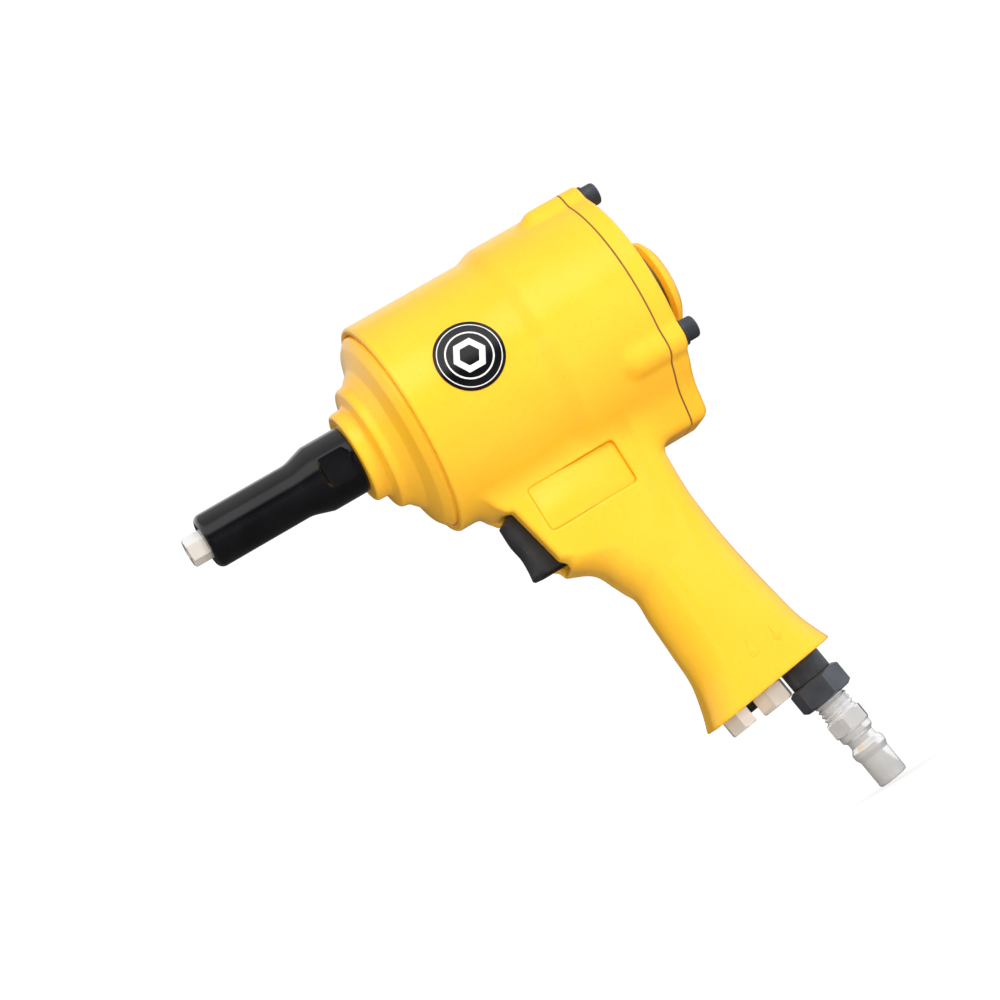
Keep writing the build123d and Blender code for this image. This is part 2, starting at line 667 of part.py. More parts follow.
def valve_bushing():
    """Threaded guide of the valve stem, with cross holes for the air."""
    body = along_x(SLOT_BACK - 0.5, BUSHING_END, VALVE_BORE_R, z=VALVE_Z)
    body -= along_x(SLOT_BACK + 1, BUSHING_END + 12, STEM_R + RUN_CLEAR, z=VALVE_Z)
    body -= along_x(BUSHING_END + 12.5, BUSHING_END - 1, 4.4, z=VALVE_Z)
    body -= along_x(-124.6, -129.4, VALVE_BORE_R + 1, z=VALVE_Z) - along_x(-124, -130, 5.0, z=VALVE_Z)
    body -= Pos(-127.0, 0, VALVE_Z) * Cylinder(1.6, 16)
    return body


def valve_stem():
    """Stem that the trigger pushes, with its sealing head."""
    stem = along_x(STEM_FRONT - 2.4, BUSHING_END - 0.4, STEM_R, z=VALVE_Z)
    stem += along_x(STEM_FRONT, STEM_FRONT - 2.4, STEM_R / 2, z=VALVE_Z)
    neck = along_x(-127.5, BUSHING_END - 0.2, STEM_R + 1, z=VALVE_Z)
    neck -= along_x(-127, BUSHING_END - 1, 1.7, z=VALVE_Z)
    head = along_x(BUSHING_END - 0.4, BUSHING_END - 3.4, 5.4, z=VALVE_Z)
    return stem - neck + head


def valve_spring():
    """Spring behind the valve head; it also returns the trigger."""
    return coil(VALVE_BORE_END, BUSHING_END - 3.4, 4.0, 0.9, 5, z=VALVE_Z)


def inlet_adapter():
    """Steel adapter: collar and hexagon below the base, threaded at both ends."""
    plane = base_plane(BASE_X)
    body = on_base(plane, -INLET_DEPTH + 2, 0, INLET_THREAD_R)
    body += on_base(plane, 0, COLLAR, COLLAR_R)
    body += hex_on_base(plane, COLLAR, COLLAR + ADAPTER_HEX, ADAPTER_FLATS, 56.5)
    body -= on_base(plane, -20, 30, 4.6)
    return body - on_base(plane, COLLAR, 30, PLUG_THREAD_R)


def inlet_strainer():
    """Gauze cup in the adapter, above the hose plug."""
    plane = base_plane(BASE_X)
    return on_base(plane, -9.0, COLLAR, 4.6) - on_base(plane, -8.2, 10, 3.9)


def air_plug():
    """Hose plug: threaded end, hexagon, land, ball groove and tapered tip."""
    start = COLLAR + 0.4
    shoulder = COLLAR + ADAPTER_HEX + PLUG_THREAD
    hex_end = shoulder + PLUG_HEX
    outline = [
        (hex_end - 0.2, 0), (hex_end - 0.2, 6.9), (hex_end + 0.8, 6.6), (hex_end + 2.2, 6.6),
        (hex_end + 3.4, 5.35), (hex_end + 5.8, 5.35), (hex_end + 7.6, 6.75), (hex_end + 9.6, 6.75),
        (hex_end + 12.0, 5.9), (PLUG_END, 5.9), (PLUG_END, 0),
    ]
    corners = [0, 0.4, 0.3, 0.6, 0.8, 0.8, 0.8, 0.8, 1.0, 0.8, 0]
    profile = make_face(FilletPolyline(*[(r, s) for s, r in outline], radius=corners, close=True))
    tip = revolve(Plane.XZ * profile, axis=Axis.Z)
    plane = base_plane(BASE_X)
    body = plane * tip + on_base(plane, start, shoulder, PLUG_THREAD_R)
    body += hex_on_base(plane, shoulder, hex_end, PLUG_FLATS, 20)
    return body - on_base(plane, 0, PLUG_END + 1, PLUG_BORE_R)


def passage_plug():
    """Hexagon plug that closes the front air passage."""
    plane = base_plane(PASSAGE_PLUG_X)
    return on_base(plane, -8, 0, 3.5) + hex_on_base(plane, 0, 6.6, 10.0, 8)


def oil_plug():
    """Hexagon plug of the oil hole."""
    plane = base_plane(OIL_PLUG_X)
    return on_base(plane, -10, 0, 4.5) + hex_on_base(plane, 0, 7.8, 12.0, 22)


def set_screw():
    """Slotted set screw between the two plugs."""
    plane = base_plane(SET_SCREW_X, SET_SCREW_Y)
    body = on_base(plane, -7, 3.6, 2.5)
    return body - plane * Pos(0, 0, 3.6) * Box(0.8, 8, 2.4)


NODES = {
    "main_casing": main_casing,
    "front_cap": front_cap,
    "front_cap_o_ring": lambda: groove_ring(-96.3, SEAM_R - 0.02, SEAM_R - 2.0),
    "rod_seal": lambda: groove_ring(-93.3, ROD_R + 2.2, ROD_R + RUN_CLEAR),
    "nose_housing": nose_housing,
    "nosepiece": nosepiece,
    "partition": partition,
    "partition_o_ring": lambda: groove_ring(BORE_STEP - 4.5, REAR_BORE_R - 0.02, REAR_BORE_R - 2.0),
    "spacer_seal": lambda: groove_ring(BORE_STEP - 4.5, 12.7, SPACER_R + RUN_CLEAR),
    "partition_snap_ring": snap_ring,
    "rear_gasket": rear_gasket,
    "rear_cover": rear_cover,
    "cover_screws": cover_screws,
    "cover_washers": cover_washers,
    "exhaust_silencer": exhaust_silencer,
    "exhaust_deflector": exhaust_deflector,
    "deflector_screw": deflector_screw,
    "badge_plate": badge_plate,
    "trigger_pin": trigger_pin,
    "valve_bushing": valve_bushing,
    "valve_spring": valve_spring,
    "inlet_adapter": inlet_adapter,
    "inlet_strainer": inlet_strainer,
    "air_plug": air_plug,
    "passage_plug": passage_plug,
    "oil_plug": oil_plug,
    "set_screw": set_screw,
    "return_spring": return_spring,
    "draw_rod": draw_rod,
    "front_piston": lambda: piston(FRONT_PISTON),
    "front_piston_seal": lambda: piston_seal(FRONT_PISTON),
    "piston_spacer": piston_spacer,
    "rear_piston": lambda: piston(REAR_PISTON),
    "rear_piston_seal": lambda: piston_seal(REAR_PISTON),
    "rod_nut": rod_nut,
    "jaw_case": jaw_case,
    "jaw_lock_nut": jaw_lock_nut,
    "jaw_spring": lambda: coil(ROD_FRONT, -38.5, 5.6, 0.8, 4),
    "jaw_pusher": jaw_pusher,
    "trigger": trigger,
    "valve_stem": valve_stem,
}
for number in range(JAW_COUNT):
    NODES[f"jaw_{number + 1}"] = lambda number=number: jaw(number)

os.makedirs("parts", exist_ok=True)
for name, make in NODES.items():
    export_step(make(), f"parts/{name}.step")
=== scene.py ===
import bmesh
import bpy
import json
import math
import numpy as np
from mathutils import Matrix, Vector


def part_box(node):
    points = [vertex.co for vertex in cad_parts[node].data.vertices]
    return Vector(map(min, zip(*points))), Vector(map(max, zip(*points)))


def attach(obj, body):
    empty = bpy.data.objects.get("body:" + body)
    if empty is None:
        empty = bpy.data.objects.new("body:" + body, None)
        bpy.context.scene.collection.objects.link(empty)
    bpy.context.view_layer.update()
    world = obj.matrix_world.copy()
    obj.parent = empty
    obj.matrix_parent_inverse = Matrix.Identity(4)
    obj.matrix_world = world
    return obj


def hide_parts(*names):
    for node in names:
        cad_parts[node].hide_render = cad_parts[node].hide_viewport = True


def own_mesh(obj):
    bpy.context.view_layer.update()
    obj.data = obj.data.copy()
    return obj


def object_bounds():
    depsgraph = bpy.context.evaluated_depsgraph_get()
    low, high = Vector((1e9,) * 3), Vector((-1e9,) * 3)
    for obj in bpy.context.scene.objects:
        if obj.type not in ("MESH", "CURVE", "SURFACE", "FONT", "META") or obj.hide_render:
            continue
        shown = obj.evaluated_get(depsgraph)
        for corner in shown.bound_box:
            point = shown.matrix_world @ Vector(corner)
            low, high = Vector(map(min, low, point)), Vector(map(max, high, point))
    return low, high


# Pneumatic rivet gun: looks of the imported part. Lengths in this file are millimetres, and
# MM turns them into metres when a mesh is made. A station is an X position on the barrel
# axis. +X points out of the nose, +Z is up, and +Y is the side with the badge.
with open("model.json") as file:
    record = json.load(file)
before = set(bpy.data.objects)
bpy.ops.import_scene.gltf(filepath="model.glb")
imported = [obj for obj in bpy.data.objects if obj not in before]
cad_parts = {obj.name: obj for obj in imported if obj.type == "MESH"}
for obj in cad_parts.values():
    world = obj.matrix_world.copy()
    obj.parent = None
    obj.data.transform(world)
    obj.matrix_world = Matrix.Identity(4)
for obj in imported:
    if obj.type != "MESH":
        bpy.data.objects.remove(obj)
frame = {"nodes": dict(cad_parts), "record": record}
CAD_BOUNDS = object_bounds()
MM = 0.001
NODES = frame["nodes"]


def box_mm(node):
    """Lowest and highest corner of a CAD node, in millimetres."""
    low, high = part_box(node)
    return np.array(low) / MM, np.array(high) / MM


# ---------------------------------------------------------------- stations from the frame
CASING_LOW = box_mm("main_casing")[0]
NOSE_LOW, NOSE_HIGH = box_mm("nose_housing")
CAP_LOW, CAP_HIGH = box_mm("front_cap")
COVER_LOW = box_mm("rear_cover")[0]
GASKET_LOW, GASKET_HIGH = box_mm("rear_gasket")
WASHER_LOW, WASHER_HIGH = box_mm("cover_washers")
SCREW_LOW = box_mm("cover_screws")[0]
DEFLECTOR_LOW = box_mm("exhaust_deflector")[0]
BADGE_LOW, BADGE_HIGH = box_mm("badge_plate")
TRIGGER_LOW, TRIGGER_HIGH = box_mm("trigger")
PIN_LOW, PIN_HIGH = box_mm("trigger_pin")
BUSHING_LOW, BUSHING_HIGH = box_mm("valve_bushing")

GASKET_X = GASKET_HIGH[0]
COVER_FRONT = GASKET_LOW[0]
COVER_BACK = WASHER_HIGH[0]
HEAD_FRONT = WASHER_LOW[0]
HEAD_BACK = SCREW_LOW[0]
SEAM_X = -88.8
SEAM_R = CAP_HIGH[1]
CAP_BACK = CAP_LOW[0]
CYLINDER_R = 42.2
REAR_R = 44.6
BORE_STEP = box_mm("partition")[1][0]
FRONT_BORE_R = 37.0
REAR_BORE_R = 38.4
SCREW_PITCH_R = 41.8
SCREW_ANGLES = (28.0, 128.0, -28.0, -128.0)
BLOCK_HALF = 15.6
SLOT_HALF = 7.6
SLOT_BACK, SLOT_TOP, SLOT_BOTTOM = -122.0, -46.7, -74.8
VALVE_BORE_END = -159.5
MOUTH_X = -92.5
DEFLECTOR_FRONT = -196.8
PORT_PITCH_R, PORT_R = 11.6, 2.4
PLUG_END = 53.6
NOSE_FLAT_TURN = -10.0
LABEL_X, LABEL_Z = -131.3, -52.5
LABEL_LONG, LABEL_TALL = 35.8, 17.3
VALVE_Z = (BUSHING_LOW[2] + BUSHING_HIGH[2]) / 2

# The tilted base: a point on it under the inlet, and its axis pointing down and out
TILT = math.radians(7.4)
BASE_POINT = np.array([-167.9, 0.0, -145.8])
BASE_AXIS = np.array([-math.sin(TILT), 0.0, -math.cos(TILT)])


# ---------------------------------------------------------------- meshes
def new_object(name, points, faces, sharp_angle=35.0):
    """Object from millimetre points, smooth except at sharp edges."""
    mesh = bpy.data.meshes.new(name)
    mesh.from_pydata((np.asarray(points, float) * MM).tolist(), [], faces)
    mesh.validate()
    mesh.polygons.foreach_set("use_smooth", np.ones(len(mesh.polygons), bool))
    mesh.set_sharp_from_angle(angle=math.radians(sharp_angle))
    obj = bpy.data.objects.new(name, mesh)
    bpy.context.scene.collection.objects.link(obj)
    return obj


def axis_frame(origin, direction, side=(0, 1, 0)):
    """Rows of a frame whose third row is the direction, and its origin."""
    third = np.asarray(direction, float)
    third = third / np.linalg.norm(third)
    first = np.asarray(side, float) - np.dot(side, third) * third
    first = first / np.linalg.norm(first)
    return np.array([first, np.cross(third, first), third]), np.asarray(origin, float)


BARREL = axis_frame((0, 0, 0), (1, 0, 0))
INLET = axis_frame(BASE_POINT, BASE_AXIS)


def base_frame(x, y=0.0):
    """Frame on the tilted base at an X and Y position."""
    z = BASE_POINT[2] + math.tan(TILT) * (BASE_POINT[0] - x)
    return axis_frame((x, y, z), BASE_AXIS)


def turned_mesh(rings, segments, place):
    """Points and faces of a closed run of rings (distance, radius); either may vary round the ring."""
    angle = np.arange(segments) * 2 * math.pi / segments
    rows, origin = place
    points = []
    for along, radius in rings:
        along = np.broadcast_to(np.asarray(along, float), angle.shape)
        radius = np.broadcast_to(np.asarray(radius, float), angle.shape)
        local = np.stack([radius * np.cos(angle), radius * np.sin(angle), along], axis=1)
        points.append(local @ rows + origin)
    points = np.concatenate(points)
    return points, loop_faces(len(rings), segments)


def loop_faces(count, segments):
    """Quads that join each ring of points to the next, and the last to the first."""
    faces = []
    for i in range(count):
        j = (i + 1) % count
        for k in range(segments):
            m = (k + 1) % segments
            faces.append((i * segments + k, j * segments + k, j * segments + m, i * segments + m))
    return faces


def fix_normals(obj):
    """Faces of a closed mesh turned outward."""
    work = bmesh.new()
    work.from_mesh(obj.data)
    bmesh.ops.recalc_face_normals(work, faces=work.faces)
    work.to_mesh(obj.data)
    work.free()
    return obj


def rounded(points, corners, steps=5):
    """Outline with each corner rounded to its radius, as a closed list of points."""
    result = []
    count = len(points)
    for i in range(count):
        here = np.array(points[i], float)
        radius = corners[i]
        if radius <= 0:
            result.append(here)
            continue
        before = np.array(points[i - 1], float) - here
        after = np.array(points[(i + 1) % count], float) - here
        before_length, after_length = np.linalg.norm(before), np.linalg.norm(after)
        before, after = before / before_length, after / after_length
        if np.linalg.norm(before + after) < 1e-6:
            result.append(here)
            continue
        half = math.acos(max(-1, min(1, float(np.dot(before, after))))) / 2
        reach = min(radius / math.tan(half), before_length * 0.49, after_length * 0.49)
        radius = reach * math.tan(half)
        centre = here + (before + after) / np.linalg.norm(before + after) * radius / math.sin(half)
        start, end = here + before * reach - centre, here + after * reach - centre
        turn = math.atan2(start[0] * end[1] - start[1] * end[0], float(np.dot(start, end)))
        for k in range(steps + 1):
            a = turn * k / steps
            spot = (start[0] * math.cos(a) - start[1] * math.sin(a),
                    start[0] * math.sin(a) + start[1] * math.cos(a))
            result.append(centre + spot)
    return result


def lathe(name, profile, place=BARREL, segments=128, steps=5, sharp=35.0):
    """Turned piece from (along, radius, corner) points of a closed outline."""
    corners = [p[2] if len(p) > 2 else 0.3 for p in profile]
    outline = rounded([p[:2] for p in profile], corners, steps)
    outline = [(a, max(r, 0.002)) for a, r in outline]
    points, faces = turned_mesh(outline, segments, place)
    return fix_normals(new_object(name, points, faces, sharp))


def hex_radius(flats, segments, turn=0.0):
    """Radius of a hexagon at each angle round it, with slightly broken corners."""
    angle = np.arange(segments) * 2 * math.pi / segments + math.radians(turn)
    inner = (angle + math.pi / 6) % (math.pi / 3) - math.pi / 6
    return np.minimum(flats / 2 / np.cos(inner), flats / 2 * 1.147)


def hex_piece(name, flats, start, end, hole, place, turn=0.0, chamfer_start=True, chamfer_end=True):
    """Hexagon nut or bolt head with the curved edges that a conical chamfer leaves."""
    segments = 192
    radius = hex_radius(flats, segments, turn)
    round_r = flats / 2 * 0.965
    sink = np.maximum(radius - round_r, 0) * math.tan(math.radians(30))
    low = start + (sink if chamfer_start else 0 * sink)
    high = end - (sink if chamfer_end else 0 * sink)
    rings = [(start, hole), (start, round_r), (low, radius - 0.08), (low + 0.12, radius),
             (high - 0.12, radius), (high, radius - 0.08), (end, round_r), (end, hole)]
    if hole > 0.5:
        rings += [(end - 0.4, hole - 0.35), (start + 0.4, hole - 0.35)]
    points, faces = turned_mesh(rings, segments, place)
    return fix_normals(new_object(name, points, faces, 20.0))


def thread_piece(name, radius, hole, start, end, pitch, depth, place):
    """Threaded stub with real helical turns."""
    segments = 96
    per_pitch = 10
    angle = np.arange(segments) / segments
    count = int((end - start) / pitch * per_pitch)
    rings = [(start, hole)]
    for i in range(count + 1):
        along = start + (end - start) * i / count
        phase = (along / pitch - angle) % 1.0
        tooth = np.clip(np.abs(phase - 0.5) * 2.6 - 0.15, 0, 1)
        fade = min(1.0, (along - start) / pitch * 2, (end - along) / pitch * 2)
        rings.append((along, radius - depth * tooth * max(fade, 0.15)))
    rings.append((end, hole))
    points, faces = turned_mesh(rings, segments, place)
    return fix_normals(new_object(name, points, faces, 50.0))


def joined(name, pieces):
    """One object from several."""
    context = {"active_object": pieces[0], "selected_editable_objects": pieces, "object": pieces[0]}
    with bpy.context.temp_override(**context):
        bpy.ops.object.join()
    pieces[0].name = name
    pieces[0].data.name = name
    return pieces[0]


# ---------------------------------------------------------------- cast shapes from distance fields
def smooth_min(a, b, k):
    h = np.maximum(k - np.abs(a - b), 0) / k
    return np.minimum(a, b) - h * h * k / 4


def smooth_max(a, b, k):
    return -smooth_min(-a, -b, k)


def smooth_step(value, start, end):
    t = np.clip((value - start) / (end - start), 0, 1)
    return t * t * (3 - 2 * t)


def rounded_box_2d(a, b, half_a, half_b, corner):
    qa = np.abs(a) - half_a + corner
    qb = np.abs(b) - half_b + corner
    outside = np.hypot(np.maximum(qa, 0), np.maximum(qb, 0))
    return outside + np.minimum(np.maximum(qa, qb), 0) - corner


def polygon_2d(a, b, outline):
    """Signed distance to a closed outline."""
    best = np.full(a.shape, 1e9)
    inside = np.zeros(a.shape, bool)
    count = len(outline)
    for i in range(count):
        (ax, ay), (bx, by) = outline[i], outline[(i + 1) % count]
        ex, ey = bx - ax, by - ay
        t = np.clip(((a - ax) * ex + (b - ay) * ey) / (ex * ex + ey * ey), 0, 1)
        best = np.minimum(best, (a - ax - t * ex) ** 2 + (b - ay - t * ey) ** 2)
        if abs(ey) > 1e-9:
            crosses = ((ay > b) != (by > b)) & (a < ex * (b - ay) / ey + ax)
            inside ^= crosses
    return np.where(inside, -1, 1) * np.sqrt(best)


def boss_places():
    places = []
    for angle in SCREW_ANGLES:
        a = math.radians(angle)
        places.append((SCREW_PITCH_R * math.sin(a), SCREW_PITCH_R * math.cos(a)))
    return places


def lobes(y, z):
    """Lobed outline at the gasket: circle, screw lobes and the foot below."""
    d = np.hypot(y, z) - REAR_R
    for by, bz in boss_places():
        d = smooth_min(d, np.hypot(y - by, z - bz) - 6.0, 3.0)
    return smooth_min(d, polygon_2d(y, z, FOOT_OUTLINE), 3.0)


FOOT_OUTLINE = rounded([(-21.9, -26.0), (-21.9, -36.0), (-11.6, -53.3), (11.6, -53.3), (21.9, -36.0),
                        (21.9, -26.0)], [0, 0, 6.0, 6.0, 0, 0])
GRIP_LEVELS = np.array([-30.0, -56.0, -74.5, -84.5, -94.5, -106.5, -120.5, -133.4, -142.3, -156.0])
GRIP_FRONT = np.array([-129.5, -129.0, -126.9, -126.3, -129.5, -129.6, -130.2, -130.6, -129.1, -125.0])
GRIP_REAR = np.array([-165.6, -165.3, -165.4, -166.9, -168.5, -170.7, -173.5, -176.5, -180.0, -187.5])
GRIP_HALVES = np.array([15.6, 15.6, 15.7, 15.9, 16.3, 16.7, 16.8, 17.0, 17.2, 17.6])
GRIP_CORNERS = np.array([7.0, 7.0, 9.0, 11.5, 13.5, 14.8, 14.8, 14.2, 13.0, 12.0])


def eased(z, values):
    """Smooth curve through the grip's levels."""
    order = GRIP_LEVELS[::-1]
    data = values[::-1]
    slopes = np.gradient(data, order)
    i = np.clip(np.searchsorted(order, z) - 1, 0, len(order) - 2)
    width = order[i + 1] - order[i]
    t = np.clip((z - order[i]) / width, 0, 1)
    a, b = data[i], data[i + 1]
    ma, mb = slopes[i] * width, slopes[i + 1] * width
    return ((2 * t ** 3 - 3 * t ** 2 + 1) * a + (t ** 3 - 2 * t ** 2 + t) * ma
            + (-2 * t ** 3 + 3 * t ** 2) * b + (t ** 3 - t ** 2) * mb)


BLOCK_OUTLINE = rounded(
    [(-100.3, -20.0), (-100.3, -43.3), (-102.8, -47.0), (-105.3, -48.0), (-110.6, -71.2),
     (-112.8, -73.3), (-113.1, -76.3), (-118.9, -79.1), (-125.4, -82.6), (-130.2, -91.0),
     (-150.0, -86.0), (-150.0, -20.0)],
    [0, 4.0, 3.0, 0.8, 1.2, 1.0, 1.6, 8.0, 9.0, 0, 0, 0], 4)


def base_depth(x, z):
    """Distance below the tilted base."""
    return (x - BASE_POINT[0]) * BASE_AXIS[0] + (z - BASE_POINT[2]) * BASE_AXIS[2]


def handle_field(x, y, z):
    front, rear = eased(z, GRIP_FRONT), eased(z, GRIP_REAR)
    half, corner = eased(z, GRIP_HALVES), eased(z, GRIP_CORNERS)
    grip = rounded_box_2d(x - (front + rear) / 2, y, (front - rear) / 2, half, corner) * 0.96
    grip = np.maximum(grip, z + 34.0)
    plate = polygon_2d(x, z, BLOCK_OUTLINE)
    softness = 2.2 + 11.0 * smooth_step(-z, 68.0, 82.0)
    plate = smooth_max(plate, np.abs(y) - BLOCK_HALF, softness)
    body = smooth_min(plate, grip, 7.0)
    # thumb and finger hollows on both sides, where the block narrows into the grip
    dent = ((x + 160.0) / 10.0) ** 2 + ((z + 93.0) / 13.0) ** 2 + ((np.abs(y) - 17.0) / 9.0) ** 2
    body = body + 0.9 * np.exp(-dent)
    return smooth_max(body, base_depth(x, z), 1.0)


def barrel_field(x, y, z):
    r = np.hypot(y, z)
    side = r - CYLINDER_R - (REAR_R - CYLINDER_R) * smooth_step(-x, 135.6, 144.8)
    corner = 2.4
    over = np.hypot(np.maximum(side + corner, 0), np.maximum(x - SEAM_X - 0.4 + corner, 0)) - corner
    return over + np.minimum(np.maximum(side + corner, x - SEAM_X - 0.4 + corner), 0)


def casing_field(x, y, z):
    """Casing: barrel, lobes, block and grip, less its bores, slot and holes."""
    r = np.hypot(y, z)
    body = barrel_field(x, y, z)
    for by, bz in boss_places():
        reach = np.maximum(x + 167.8, 0)
        ridge = np.sqrt(reach ** 2 + (y - by) ** 2 + (z - bz) ** 2) - 6.0
        body = smooth_min(body, ridge, 3.0)
    foot = np.maximum(polygon_2d(y, z, FOOT_OUTLINE), x + 158.0)
    body = smooth_min(body, foot, 3.0)
    body = smooth_min(body, handle_field(x, y, z), 6.0)
    # mouth and bores
    seat = np.maximum(r - SEAM_R - 0.06, CAP_BACK - x)
    body = smooth_max(body, -seat, 0.5)
    bore = np.where(x > BORE_STEP, FRONT_BORE_R, REAR_BORE_R)
    body = np.maximum(body, bore - r)
    # trigger slot
    slot = np.maximum(SLOT_BACK - x, np.maximum(z - SLOT_TOP, SLOT_BOTTOM - z))
    slot = np.maximum(np.abs(y) - SLOT_HALF, slot)
    body = smooth_max(body, -slot, 1.4)
    # valve bore, inlet and the plugs' holes
    valve = np.maximum(np.hypot(y, z - VALVE_Z) - 6.5, np.maximum(x + 120.0, VALVE_BORE_END - x))
    body = np.maximum(body, -valve)
    for spot_x, spot_y, radius, depth in ((BASE_POINT[0], 0.0, 6.7, 15.0), (-137.2, 0.0, 3.6, 9.0),
                                          (-152.2, 0.0, 4.6, 11.0), (-145.0, -5.5, 2.6, 8.0)):
        rows, origin = base_frame(spot_x, spot_y)
        along = (x - origin[0]) * rows[2][0] + (z - origin[2]) * rows[2][2]
        across = np.hypot((x - origin[0]) * rows[2][2] - (z - origin[2]) * rows[2][0], y - spot_y)
        hole = np.maximum(across - radius, -along - depth)
        body = smooth_max(body, -hole, 0.5)
    for by, bz in boss_places():
        hole = np.maximum(np.hypot(y - by, z - bz) - 2.5, x + 170.7)
        body = np.maximum(body, -hole)
    pin = np.maximum(np.hypot(x - (PIN_LOW[0] + PIN_HIGH[0]) / 2, z - (PIN_LOW[2] + PIN_HIGH[2]) / 2) - 1.65,
                     y - PIN_HIGH[1] - 0.2)
    body = np.maximum(body, -pin)
    # bed of the label panel
    panel = rounded_box_2d(x - LABEL_X, z - LABEL_Z, LABEL_LONG / 2 + 0.2, LABEL_TALL / 2 + 0.2, 1.8)
    bed = np.maximum(panel, BLOCK_HALF - 0.9 - y)
    return smooth_max(body, -bed, 0.3)


def cover_field(x, y, z):
    """Rear cover: the lobed outline with a rounded rear edge, bolt seats, hub and ports."""
    side = lobes(y, z)
    corner = 1.8 + 1.6 * smooth_step(-z, 28.0, 46.0)
    away = COVER_BACK - x
    body = (np.hypot(np.maximum(side + corner, 0), np.maximum(away + corner, 0)) - corner
            + np.minimum(np.maximum(side + corner, away + corner), 0))
    r = np.hypot(y, z)
    body = smooth_min(body, np.maximum(r - 16.5, COVER_BACK - 1.6 - x), 1.0)
    hub = np.maximum(r - 7.0, DEFLECTOR_FRONT + 0.4 - x)
    body = smooth_min(body, hub, 0.8)
    for by, bz in boss_places():
        away = np.hypot(y - by, z - bz)
        body = np.maximum(body, 2.5 - away)
        seat = np.maximum(away - 5.6, x - COVER_BACK)
        body = smooth_max(body, -seat, 0.6)
    for index in range(6):
        a = math.radians(30 + 60 * index)
        port = np.hypot(y - PORT_PITCH_R * math.cos(a), z - PORT_PITCH_R * math.sin(a))
        body = np.maximum(body, PORT_R - port)
    return np.maximum(body, 3.0 - r)


def surface_net(field, low, high, step):
    """Closed quad mesh of a field's zero surface, then settled onto the surface."""
    axes = [np.arange(low[i], high[i] + step, step) for i in range(3)]
    values = np.empty([len(a) for a in axes])
    for i, x in enumerate(axes[0]):
        y, z = np.meshgrid(axes[1], axes[2], indexing="ij")
        values[i] = field(np.full(y.shape, x), y, z)
    solid = values < 0
    shape = np.array(values.shape) - 1
    filled = np.zeros(shape, np.int8)
    for i in (0, 1):
        for j in (0, 1):
            for k in (0, 1):
                filled += solid[i:shape[0] + i, j:shape[1] + j, k:shape[2] + k]
    active = (filled > 0) & (filled < 8)
    cells = np.argwhere(active)
    number = np.full(active.shape, -1)
    number[active] = np.arange(len(cells))
    total = np.zeros((len(cells), 3))
    hits = np.zeros(len(cells))
    for axis in range(3):
        others = [a for a in range(3) if a != axis]
        for i in (0, 1):
            for j in (0, 1):
                a = np.zeros(3, int)
                a[others[0]], a[others[1]] = i, j
                b = a.copy()
                b[axis] = 1
                va = values[tuple((cells + a).T)]
                vb = values[tuple((cells + b).T)]
                cross = (va < 0) != (vb < 0)
                t = va[cross] / (va[cross] - vb[cross])
                total[cross] += a + t[:, None] * (b - a)
                hits[cross] += 1
    points = (cells + total / hits[:, None]) * step + np.array([a[0] for a in axes])
    quads = []
    for axis in range(3):
        u, v = [a for a in range(3) if a != axis]
        here = [slice(1, -1)] * 3
        here[axis] = slice(0, -1)
        ahead = list(here)
        ahead[axis] = slice(1, None)
        change = solid[tuple(here)] != solid[tuple(ahead)]
        spots = np.argwhere(change)
        offset = np.ones(3, int)
        offset[axis] = 0
        spots = spots + offset
        corners = []
        for du, dv in ((0, 0), (-1, 0), (-1, -1), (0, -1)):
            shift = np.zeros(3, int)
            shift[u], shift[v] = du, dv
            corners.append(number[tuple((spots + shift).T)])
        quads.append(np.stack(corners, axis=1))
    quads = np.concatenate(quads)
    return settle(field, points, quads, step), quads


def settle(field, points, quads, step):
    """Evens the quads out and puts their corners back on the field's zero surface."""
    pairs = np.concatenate([quads[:, [i, (i + 1) % 4]] for i in range(4)])
    count = np.zeros(len(points))
    np.add.at(count, pairs[:, 0], 1)
    np.add.at(count, pairs[:, 1], 1)
    for _ in range(3):
        total = np.zeros_like(points)
        np.add.at(total, pairs[:, 0], points[pairs[:, 1]])
        np.add.at(total, pairs[:, 1], points[pairs[:, 0]])
        points = points * 0.4 + total / count[:, None] * 0.6
        for _ in range(2):
            value = field(*points.T)
            slope = np.empty_like(points)
            for axis in range(3):
                ahead, back = points.copy(), points.copy()
                ahead[:, axis] += 0.05
                back[:, axis] -= 0.05
                slope[:, axis] = (field(*ahead.T) - field(*back.T)) / 0.1
            size = np.maximum((slope ** 2).sum(axis=1), 0.3)
            move = -value[:, None] * slope / size[:, None]
            length = np.linalg.norm(move, axis=1, keepdims=True)
            points = points + move * np.minimum(1, 0.5 * step / np.maximum(length, 1e-9))
    return points


def cast_piece(name, field, low, high, step):
    points, quads = surface_net(field, low, high, step)
    return fix_normals(new_object(name, points, quads.tolist(), 60.0))


